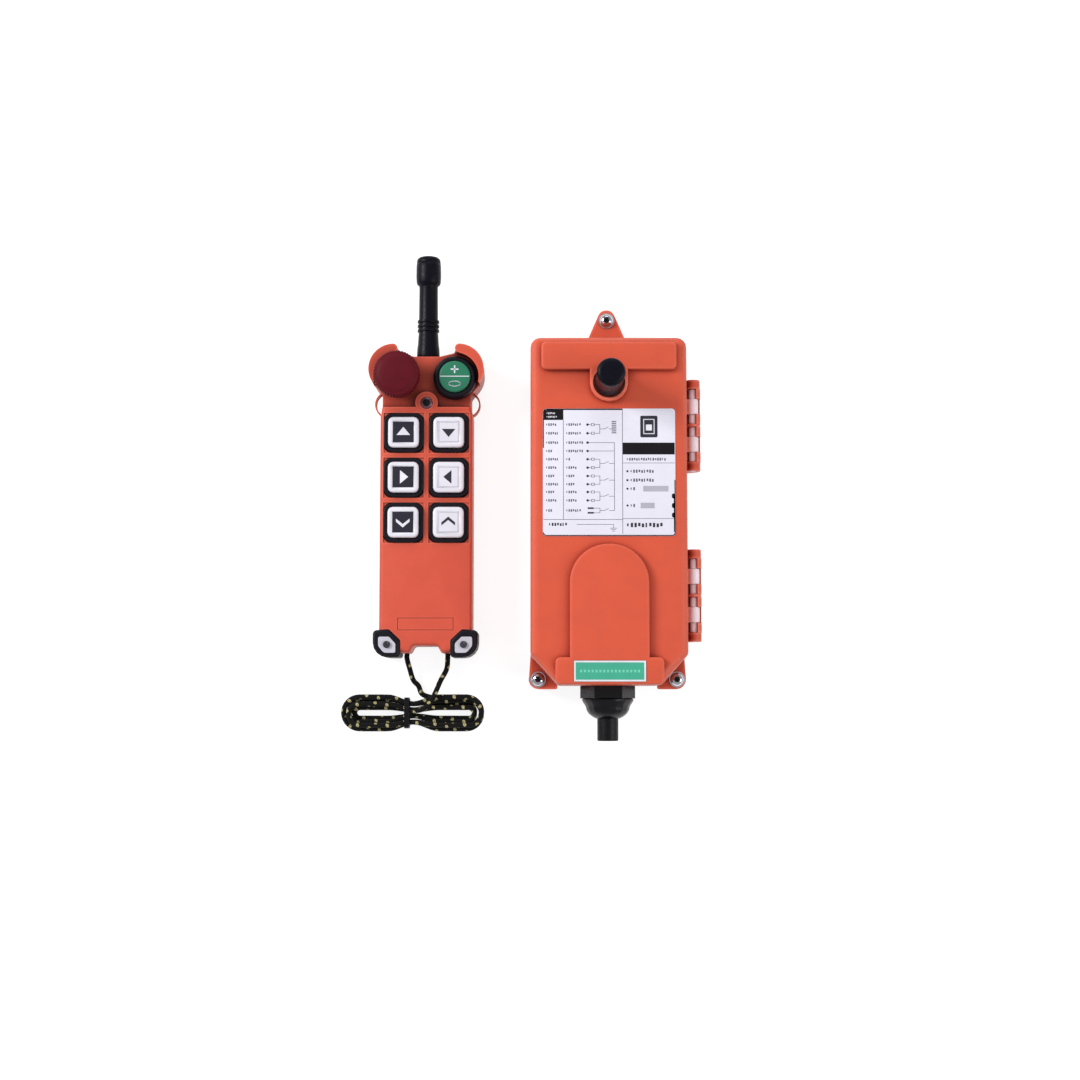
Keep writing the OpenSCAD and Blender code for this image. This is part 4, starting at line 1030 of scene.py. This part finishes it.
@dataclass
class RoundButtons:
    """The turn-to-release stop mushroom and the start button, side by side in the ears."""

    x: float = 17.6
    y: float = 173.0
    start_z: float = 36.0
    ring_low: float = 26.6
    ring_bore: float = 10.1
    # Radius and depth below the start button's face
    ring_lip: tuple = ((13.35, 4.5), (13.1, 3.2), (12.4, 2.0), (11.6, 1.55), (10.7, 1.5), (10.2, 1.8),
                       (10.1, 2.4))
    head_r: float = 14.3
    head_low: float = 37.6
    head_top: float = 49.6
    # Distance in from the mushroom's rim and depth below its top
    crown: tuple = ((0.45, 2.6), (1.0, 1.9), (1.7, 1.6), (2.1, 1.65), (2.5, 1.3), (3.4, 0.8), (5, 0.4),
                    (8, 0.1))
    ribs: int = 48
    rib_deep: float = 0.2

    def start(self) -> None:
        """Dress the start button, make its ring, and print its disc."""
        at = on(HANDSET, self.x, self.y)
        z, foot = self.start_z, (self.ring_bore, self.ring_low)
        lip = [(r, z - down) for r, down in self.ring_lip]
        ring = Shape()
        ring.lathe([foot, (13.3, self.ring_low), *lip, foot], steps=96)
        piece("start_ring_dressed", ring, Look.RUBBER, at, 35, stands_for="start_ring")
        dress("start_button", Look.START, 0.35, body="start_key")
        marks = Marks(z, at)
        marks.bar(Print.PALE, -9.0, -0.25, 9.0, 0.25)
        marks.line(Print.PALE, (0, 2.2), (0, 6.6), 0.8)
        marks.line(Print.PALE, (-2.2, 4.4), (2.2, 4.4), 0.8)
        oval = [(3.6 * math.cos(a), -4.6 + 1.6 * math.sin(a)) for a in fan(0, 360, 24)[:-1]]
        for a, b in zip(oval, oval[1:] + oval[:1]):
            marks.line(Print.PALE, a, b, 0.45)
        marks.build("start_mark", "start_key", "start_green")

    def stop(self) -> None:
        """Make the mushroom with its ribbed rim, and dress what carries it."""
        low, top, r = self.head_low, self.head_top, self.head_r
        profile = [(6.2, low + 0.05), (r - 1.4, low + 0.05), (r - 0.5, low + 0.6), (r - 0.25, low + 1.6)]
        profile += [(r - 0.25 - 0.05 * k / 8, low + 1.6 + (top - low - 4.6) * k / 8) for k in range(1, 9)]
        profile += [(r - inward, top - down) for inward, down in self.crown]
        head = Shape()
        for vert in head.lathe([*profile, (0, top - 0.02)], steps=self.ribs * 6):
            reach = math.hypot(vert.co.x, vert.co.y)
            if reach > r - 1.2 and vert.co.z < top - 1.7:
                wave = self.rib_deep * math.cos(self.ribs * math.atan2(vert.co.y, vert.co.x))
                vert.co.xy *= (reach + wave) / reach
        at = on(HANDSET, -self.x, self.y)
        piece("stop_head_dressed", head, Look.STOP, at, 50, "stop_knob", stands_for="stop_head")
        dress("stop_collar", Look.BLACK, 0.3)
        dress("stop_stem", Look.BLACK, 0.2, body="stop_plunger")
        paint("stop_spring", Look.STEEL)

    def build(self) -> None:
        """Make both buttons."""
        self.start()
        self.stop()


@dataclass
class Handset:
    """The hand-held transmitter: shells, seal, lamp, aerial, bumpers and what is inside."""

    seam_z: float = 14.0
    wall_low: float = 3.2
    wall_high: float = 25.5
    neck_wall: tuple = ((9.7, 185.1), (18.9, 187.6), (18.9, 190.6), (17.35, 190.3), (16.9, 189.1),
                        (12.0, 187.9))
    loop_at: Place = (24.5, 158.3)
    loop_from: float = 3.6
    loop_r: float = 8.05
    loop_wide: float = 0.7
    loop_share: float = 0.3
    led_y: float = 157.4
    led_r: float = 3.85
    front_z: float = 30.0
    whip_y: float = 187.1
    whip_z: float = 14.0
    whip_l: float = 65.9
    # Radius and place along the aerial: in millimetres for the root and a rib, else as a share of its length
    whip_root: tuple = ((0, 0.0), (7.0, 0.0), (7.2, 0.4), (7.15, 3), (6.95, 7))
    whip_neck: tuple = ((6.6, 0.14), (6.2, 0.235), (6.0, 0.26))
    whip_rib: tuple = ((6.0, -0.25), (6.7, 0), (6.85, 0.6), (6.7, 1.6), (6.0, 1.85))
    whip_cap: tuple = ((5.95, 0.42), (5.8, 0.7), (6.0, 0.715), (7.2, 0.73), (7.6, 0.75), (7.8, 0.8),
                       (7.75, 0.9), (7.6, 0.93), (7.4, 0.934), (7.55, 0.938), (7.4, 0.962), (7.0, 0.977),
                       (6.0, 0.99), (4.5, 0.997), (0, 1))

    def shells(self) -> None:
        """Dress the two shells, their seal and the battery door, and close the neck's side walls."""
        front, rear = [dress(f"handset_{half}_shell", Look.HANDSET, 0.45, 28) for half in ("front", "rear")]
        self.slim_loops(front, self.seam_z + 0.3)
        self.slim_loops(rear, self.seam_z - 0.3)
        for name, low, high in (("neck_wall_front", self.seam_z + 0.05, self.wall_high),
                                ("neck_wall_rear", self.wall_low, self.seam_z - 0.05)):
            walls = Shape()
            for side in SIDES:
                walls.prism([(side * x, y) for x, y in self.neck_wall[::side]], low, high)
            piece(name, walls, Look.HANDSET, HANDSET, 30)
        dress("handset_seal", Look.RUBBER)
        dress("battery_door", Look.HANDSET, 0.3)
        dress("battery_door_screw", Look.STEEL, 0.15)
        dress("shell_screws", Look.STEEL, 0.15)

    def slim_loops(self, shell: bpy.types.Object, level: float) -> None:
        """Draw the strap loops of a shell in towards the seam, which leaves them slim as moulded.

        Args:
            shell: The dressed shell.
            level: The height that they are drawn to, in millimetres.
        """
        for vert in shell.data.vertices:
            x = abs(vert.co.x / MM - HANDSET[0]) - self.loop_at[0]
            y = vert.co.y / MM - HANDSET[1] - self.loop_at[1]
            if x > self.loop_from and abs(math.hypot(x, y) - self.loop_r) < self.loop_wide:
                vert.co.z = (level + (vert.co.z / MM - level) * self.loop_share) * MM

    def lamp(self) -> None:
        """Make the domed lamp lens."""
        r, z, at = self.led_r, self.front_z, on(HANDSET, 0, self.led_y)
        dome = [(r * math.cos(a), z - 0.3 + 1.35 * math.sin(a)) for a in fan(0, 90, 10)[:-1]]
        lens = Shape()
        lens.lathe([(r, z - 1.45), *dome, (0, z + 1.05)], steps=48)
        piece("led_lens_dressed", lens, Look.LENS, at, 60, stands_for="led_lens")
        core = Shape()
        core.lathe([(2.3, z + 0.62), (2.25, z + 0.82), (1.5, z + 1.12), (0, z + 1.2)], steps=36)
        piece("led_lens_core", core, Look.BLACK, at, 60)
        paint("status_led", Look.LED)

    def aerial(self) -> None:
        """Make the whip aerial: a flared root, three ribs, a plain stretch and a swollen cap."""
        profile = [*self.whip_root, *[(r, share * self.whip_l) for r, share in self.whip_neck]]
        for k in range(3):
            rib = self.whip_l * (0.268 + 0.0435 * k)
            profile += [(r, rib + along) for r, along in self.whip_rib]
        profile += [(r, share * self.whip_l) for r, share in self.whip_cap]
        shape, pin, at = Shape(), Shape(), on(HANDSET, 0, self.whip_y, self.whip_z)
        shape.lathe(profile, ORIGIN, LENGTHWISE, 64)
        pin.lathe([(0, 0.1), (2.45, 0.1), (2.45, -6.8), (2.1, -7.3), (0, -7.3)], ORIGIN, LENGTHWISE, 32)
        piece("whip_aerial_dressed", shape, Look.AERIAL, at, stands_for="whip_aerial")
        piece("whip_aerial_pin", pin, Look.BRASS, at)
        paint("aerial_socket", Look.BRASS)

    def bumpers(self) -> None:
        """Dress the corner bumpers with their plates and screws."""
        dress("left_bumper", Look.RUBBER, 0.9, 40, 3)
        dress("right_bumper", Look.RUBBER, 0.9, 40, 3)
        dress("bumper_plates", Look.SILVER, 0.2)
        dress("bumper_screws", Look.SCREW, 0.12)

    def inside(self) -> None:
        """Give the parts inside their finishes."""
        paint("battery_cells", Look.CELL)
        paint("battery_contacts", Look.STEEL)
        paint("handset_board", Look.BOARD)
        paint("key_switches", Look.BLACK)
        paint("transmitter_module", Look.TIN)

    def build(self) -> None:
        """Make the whole handset."""
        self.shells()
        self.lamp()
        self.aerial()
        self.bumpers()
        self.inside()


@dataclass
class RatingLabel:
    """The receiver's wordless printed label: a ruled table, a plain line diagram and a column of fields."""

    left: float = -40.0
    low: float = 89.5
    width: float = 80.0
    height: float = 77.4
    z: float = 56.4
    split: float = 48.1
    column: float = 12.4
    rule: float = 0.28
    dots: float = 27.0
    join: float = 34.4
    rail: float = 43.2
    rows: tuple = (67.6, 62.3, 56.6, 51.5, 46.5, 41.4, 36.3, 31.3, 26.6, 21.5, 15.4)
    words: tuple = ((6.6, 9.2), (8.2, 9.4), (8.8, 11.6), (4.6, 10.6), (8.8, 3.2), (7.4, 6.6), (5.4, 5.6),
                    (8.2, 6.2), (6.0, 7.6), (6.6, 7.6), (4.8, 10.2))
    marks: Marks = field(init=False)

    def __post_init__(self) -> None:
        """Start the print on the film's face."""
        self.marks = self.layer(self.z)

    def layer(self, z: float) -> Marks:
        """Start a layer of print at a height."""
        return Marks(z, on(RECEIVER, self.left, self.low))

    def word(self, marks: Marks, ink: Print, x: float, y: float, length: float, tall: float = 1.3) -> None:
        """Stand in for a line of small print by a row of short bars.

        Args:
            marks: The layer that it goes on.
            ink: Its ink.
            x: Left end.
            y: Middle height.
            length: Its length.
            tall: Height of small letters; the bars are a fifth taller.
        """
        tall *= 1.2
        step = tall * 0.84
        for k in range(max(1, int(length / step))):
            start, wide = x + k * step, 0.62 if k % 5 else 0.4
            low, high = -0.5 if k % 3 else -0.28, 0.5 if k % 4 else 0.36
            marks.bar(ink, start, y + low * tall, start + step * wide, y + high * tall)

    def thin(self, *points: Place) -> None:
        """Draw the diagram's thin line from point to point."""
        for a, b in zip(points, points[1:]):
            self.marks.line(Print.GREY, a, b, self.rule)

    def contact(self, top: float, low: float) -> None:
        """Join two rows of the diagram to its rail through an open contact.

        Args:
            top: Height of the upper row.
            low: Height of the lower one.
        """
        middle = (top + low) / 2
        self.thin((self.join, low), (self.join, top))
        self.thin((self.join, middle), (37.2, middle), (39.6, middle + 1.2))
        self.thin((40.0, middle), (self.rail, middle))

    def table(self) -> None:
        """Print the ruled table and its heading."""
        marks = self.marks
        marks.bar(Print.BLACK, 2.2, self.height - 0.9, self.split, self.height - 0.1)
        marks.bar(Print.BLACK, 0.65, self.height - 7.0, self.column, self.height - 0.9)
        over = self.layer(self.z + marks.thick)
        self.word(over, Print.PALE, 2.4, self.height - 2.9, 5.6, 0.9)
        self.word(over, Print.PALE, 2.4, self.height - 5.1, 7.0, 0.9)
        over.build("rating_label_heading", "cover", "label_white")
        marks.bar(Print.GREY, self.column - 0.15, 10.1, self.column + 0.15, self.height - 7.0)
        marks.bar(Print.GREY, 0.3, 9.8, self.split, 10.1)
        for y, (first, second) in zip(self.rows, self.words):
            self.word(marks, Print.GREY, 2.0, y, first)
            self.word(marks, Print.GREY, self.column + 1.8, y, second)

    def diagram(self) -> None:
        """Print the line diagram: a dot for each output, contacts, the rail, the supply and its earth."""
        marks, dots, rail, foot = self.marks, self.dots, self.rail, 42.6
        *outputs, supply = self.rows
        for y in outputs:
            marks.patch(Print.DARK, rounded_outline(1.5, 1.5, 0.7, (dots, y), 3))
        for pair in (outputs[:2], outputs[4:6], outputs[6:8], outputs[8:]):
            for y in pair:
                self.thin((dots + 0.8, y), (dots + 2.2, y))
                marks.frame(Print.GREY, dots + 2.2, y - 0.8, dots + 4.2, y + 0.8, self.rule)
                self.thin((dots + 4.2, y), (self.join, y))
            self.contact(*pair)
        for y in outputs[2:4]:
            self.thin((dots + 0.8, y), (rail, y))
        self.thin((rail, supply), (rail, outputs[2]))
        for y in (supply - 1.4, supply + 1.4):
            marks.bar(Print.DARK, dots, y - 0.5, dots + 3.6, y + 0.5)
            self.thin((dots + 3.6, y), (self.join, y))
        self.contact(supply + 1.4, supply - 1.4)
        for k in range(7):
            low = outputs[1] + k * 1.15
            marks.bar(Print.GREY, 41.6, low, 44.4, low + 0.6)
        self.word(marks, Print.DARK, 3.8, 7.0, 12, 1.6)
        self.thin((20.6, 7.0), (foot, 7.0))
        for k, half in enumerate((2.0, 1.3, 0.6)):
            marks.line(Print.GREY, (foot - half, 4.7 - k * 0.9), (foot + half, 4.7 - k * 0.9), 0.3)
        self.thin((foot, 4.7), (foot, 7.0))

    def fields(self) -> None:
        """Print the right column of fields."""
        marks, s, top, end = self.marks, self.split, self.height, self.width - 0.4
        marks.bar(Print.GREY, s - 0.15, 1.2, s + 0.15, top - 0.4)
        marks.patch(Print.DARK, rounded_outline(10.4, 13.2, 0.9, (s + 16.0, top - 11.0)))
        pale = self.layer(self.z + marks.thick)
        pale.frame(Print.PALE, s + 12.6, top - 15.6, s + 19.4, top - 6.4, 0.5)
        pale.bar(Print.PALE, s + 14.2, top - 13.4, s + 17.8, top - 9.8)
        pale.build("rating_label_sign", "cover", "label_white")
        marks.bar(Print.BLACK, s + 0.15, top - 28.0, end, top - 20.8)
        self.word(marks, Print.GREY, s + 2.6, top - 30.9, 25, 1.4)
        marks.bar(Print.GREY, s + 0.15, top - 33.3, end, top - 33.05)
        for down, length in ((38.2, 15.0), (43.6, 14.6), (48.8, 4.2), (59.0, 3.4)):
            marks.patch(Print.DARK, rounded_outline(1.3, 1.3, 0.6, (s + 2.9, top - down), 3))
            self.word(marks, Print.GREY, s + 4.8, top - down, length, 1.6)
        marks.bar(Print.FAINT, s + 12.4, top - 50.5, s + 27.6, top - 47.1)
        marks.bar(Print.FAINT, s + 10.8, top - 60.7, s + 19.2, top - 57.3)
        marks.bar(Print.GREY, s + 0.15, 10.4, end, 10.65)
        self.word(marks, Print.DARK, s + 2.6, 6.6, 23, 2.2)

    def border(self) -> None:
        """Print the dark border along the label's edges."""
        marks, w, h, line, corner = self.marks, self.width, self.height, 0.55, 2.2
        marks.bar(Print.BLACK, corner, 0.1, w - corner, 0.1 + line)
        marks.bar(Print.BLACK, w - 0.1 - line, corner, w - 0.1, 34)
        for y in (12.6, 18.4, 24.2):
            marks.patch(Print.BLACK, rounded_outline(2.0, 3.0, 0.9, (w - 1.25, y), 3))
        marks.bar(Print.BLACK, w - 1.1, 2.4, w - 0.3, 24)
        marks.bar(Print.BLACK, 0.1, h - 24, 0.1 + line, h - corner)
        for at, start in (((corner, corner), 180), ((w - corner, corner), 270), ((corner, h - corner), 90)):
            turn = fan(start, start + 90, 6)
            marks.patch(Print.BLACK, arc(at, 2.1, turn) + arc(at, 2.1 - line, turn)[::-1])

    def build(self) -> None:
        """Make the label film and print it."""
        film = Shape()
        middle = (self.left + self.width / 2, self.low + self.height / 2)
        film.prism(rounded_outline(self.width, self.height, 2.2, middle), self.z - 0.38, self.z, 0.08)
        piece("rating_label_film", film, Look.LABEL, RECEIVER, 35, "cover", stands_for="rating_label")
        self.border()
        self.table()
        self.diagram()
        self.fields()
        self.marks.build("rating_label_print", "cover", "label_white")


@dataclass
class Hinges:
    """The receiver's two hinges: white barrels, orange webs to the cover, and hoods of the case."""

    x: float = 52.0
    z: float = 41.0
    middles: Place = (54.4, 158.5)
    bore: float = 2.05
    # A barrel's two ends from the hinge's middle, and its radius
    barrels: tuple = ((1.1, 6.8, 2.5), (7.0, 16.3, 3.3), (16.5, 22.2, 2.5))
    barrel_edge: float = 0.25
    web: tuple = ((47.6, 41.3), (51.0, 41.6), (50.7, 42.8), (47.6, 43.4))
    web_at: float = 11.65
    web_half: float = 4.55
    hood_r: float = 4.55
    # A hood's two ends, its first and last angle in degrees, and its inner radius
    hoods: tuple = ((-27.9, 27.9, -131, -14, 4.22), (-6.8, -0.9, -14, 66, 2.75),
                    (-22.6, -16.5, -14, 66, 2.75), (0.9, 6.8, -14, 66, 2.75), (16.5, 22.6, -14, 66, 2.75))
    sill: Point = (2.0, 55.8, 0.5)
    sill_at: Place = (48.4, 37.15)

    def build(self) -> None:
        """Make the barrels, the webs and the hoods."""
        barrels, webs, hoods = Shape(), Shape(), Shape()
        for middle in self.middles:
            for side in SIDES:
                for near, far, r in self.barrels:
                    low, high = sorted((side * near, side * far))
                    start, end = low + self.barrel_edge, high - self.barrel_edge
                    rim = [(self.bore, low), (r - self.barrel_edge, low), (r, start), (r, end),
                           (r - self.barrel_edge, high), (self.bore, high), (self.bore, low)]
                    barrels.lathe(rim, (self.x, middle, self.z), LENGTHWISE, 40)
                place = middle + side * self.web_at
                webs.lying_prism(self.web, place - self.web_half, place + self.web_half)
            hoods.box(self.sill, (self.sill_at[0], middle, self.sill_at[1]))
            for low, high, first, last, inner in self.hoods:
                turn, axle = fan(first, last, 12), (self.x, self.z)
                wall = arc(axle, self.hood_r, turn) + arc(axle, inner, turn)[::-1]
                hoods.lying_prism(wall, middle + low, middle + high)
        piece("hinge_barrels", barrels, Look.WHITE, RECEIVER, 35, "cover", stands_for="hinge_arms")
        piece("hinge_webs", webs, Look.RECEIVER, RECEIVER, 35, "cover")
        piece("hinge_hoods", hoods, Look.RECEIVER, RECEIVER, 35)


@dataclass
class Receiver:
    """The receiver: case, hinged cover, labels, aerial, cable gland, mounting screws and what is inside."""

    screws_at: tuple = ((0, 228.7), (42.9, 4.0), (-42.9, 4.0))
    stub_y: float = 182.6
    stub_r: float = 8.85
    stub_low: float = 50.0
    stub_top: float = 95.9
    label_y: float = 8.4
    label_half: Place = (21.5, 6.25)
    label_z: float = 60.4
    gland_z: float = 20.6
    gland_low_y: float = -7.85
    gland_rim: tuple = ((6.65, 12.3), (6.65, -0.05), (15.2, -0.05), (15.9, 0.5), (15.9, 1.2), (15.3, 2.4),
                        (14.2, 4.0), (13.6, 5.2), (13.3, 6.6), (12.8, 7.8), (11.9, 9.1), (10.5, 10.4),
                        (8.8, 11.5), (7.4, 12.2), (6.65, 12.3))
    terminal_y: float = 46.8

    def case(self) -> None:
        """Dress the case, the cover, their seal, the hinges' pins, the screws and the buffers."""
        dress("receiver_base", Look.RECEIVER, 0.5, 28)
        dress("receiver_cover", Look.RECEIVER, 0.5, 28, body="cover")
        dress("cover_seal", Look.RUBBER)
        Hinges().build()
        dress("hinge_pins", Look.STEEL, 0.1)
        self.screws()
        dress("mounting_buffers", Look.RUBBER, 0.3)

    def screws(self) -> None:
        """Make the three domed socket screws with their washers and shanks, and a black insert in each
        socket as painted shade.
        """
        shape, socket_shade = Shape(), Shape()
        dome = [(4.35 * math.cos(a), 17.8 + 3.5 * math.sin(a)) for a in fan(0, 90, 14)[:10]]
        for x, y in self.screws_at:
            at = (x, y, 0)
            shape.lathe([(4.85, 17.0), (4.9, 17.1), (4.9, 17.6), (4.75, 17.75), (0, 17.75)], at)
            shape.lathe([(2.42, 7.1), (2.45, 7.2), (2.45, 17.0)], at, steps=32)
            shape.lathe([(4.3, 17.76), *dome, (1.95, 20.95), (1.8, 20.7), (1.75, 19.0), (0, 18.8)], at)
            # Painted shade: a black hex insert fills each socket where its steel would lie in shadow
            socket_shade.lathe([(1.7, 18.85), (1.68, 19.7), (0, 19.75)], at, steps=6)
        piece("mounting_screws_turned", shape, Look.CHROME, RECEIVER, 35, stands_for="mounting_screws")
        piece("mounting_screw_socket_shade", socket_shade, Look.BLACK, RECEIVER, 35)

    def supply_label(self) -> None:
        """Dress the green label and print its pale border and a plain row of bars."""
        dress("supply_label", Look.GREEN, 0.08, body="cover")
        marks = Marks(self.label_z, on(RECEIVER, 0, self.label_y))
        w, l = self.label_half
        marks.frame(Print.PALE, -w + 0.1, -l + 0.1, w - 0.1, l - 0.1, 1.0)
        for k in range(16):
            marks.bar(Print.MINT, -17.9 + k * 2.3, -0.8, -16.6 + k * 2.3, 0.8)
        marks.build("supply_label_print", "cover", "label_green")

    def aerial(self) -> None:
        """Make the stub aerial: a stout rubber post with a softly rounded top and a seat ring."""
        r, low, top = self.stub_r, self.stub_low, self.stub_top
        foot = ((1.2, 0), (1.0, 6), (0.2, 12.5), (0, 13.5), (0, 15.5), (0.45, 16.2))
        crown = ((0.5, 9), (0.35, 8.6), (0.35, 2.4), (0.8, 1.1), (1.8, 0.3), (3.4, 0.05))
        profile = [(0, low), *[(r - inward, low + up) for inward, up in foot]]
        profile += [(r - inward, top - down) for inward, down in crown]
        shape = Shape()
        shape.lathe([*profile, (0, top)], steps=72)
        at = on(RECEIVER, 0, self.stub_y)
        piece("stub_aerial_dressed", shape, Look.AERIAL, at, 35, "cover", stands_for="stub_aerial")

    def gland(self) -> None:
        """Dress the cable gland and the cut end of the cable, and make the gland's fluted nut."""
        dress("gland_body", Look.GLAND, 0.3, 30)
        shape = Shape()
        for vert in shape.lathe(self.gland_rim, steps=144):
            reach, high = math.hypot(vert.co.x, vert.co.y), vert.co.z
            if reach > 12.6 and 1 < high < 8:
                flute = 0.16 * abs(math.cos(9 * math.atan2(vert.co.y, vert.co.x)))
                vert.co.xy *= (reach - flute) / reach
        shape.move(Matrix.Rotation(math.pi / 2, 4, "X"))
        at = on(RECEIVER, 0, self.gland_low_y, self.gland_z)
        piece("gland_nut_turned", shape, Look.GLAND, at, 50, stands_for="gland_nut")
        dress("gland_seal", Look.RUBBER, 0.2)
        dress("cable_stub", Look.CABLE, 0.6, 40, 3)

    def inside(self) -> None:
        """Dress the circuit board and what it carries."""
        dress("receiver_board", Look.BOARD)
        dress("relays", Look.RELAY, 0.6, 40, 3)
        dress("board_parts", Look.BLACK, 0.5, 40, 3)
        dress("board_screws", Look.STEEL, 0.2)
        heads, cans = Shape(), Shape()
        for k in range(11):
            at = (-29 + 5.8 * k, self.terminal_y, 0)
            heads.lathe([(1.9, 29.15), (1.9, 29.6), (1.6, 29.85), (0, 29.9)], at, steps=24)
        for k in range(5):
            can = [(3.0, 16.1), (3.15, 16.4), (3.15, 25.5), (2.7, 26), (0, 26)]
            cans.lathe(can, (-34 + 8.2 * k, 36, 0), steps=32)
        piece("terminal_screws", heads, Look.STEEL, RECEIVER, 35)
        piece("board_capacitors", cans, Look.CELL, RECEIVER, 35)

    def build(self) -> None:
        """Make the whole receiver."""
        self.case()
        RatingLabel().build()
        self.supply_label()
        self.aerial()
        self.gland()
        self.inside()


def main() -> None:
    """Build the studio, the cord, the handset and the receiver."""
    logging.basicConfig(level=logging.INFO, format="%(message)s")
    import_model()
    Studio().build()
    Lanyard().build()
    Handset().build()
    Keys().build()
    RoundButtons().build()
    Receiver().build()
    bpy.context.view_layer.update()


if __name__ == "__main__":
    main()
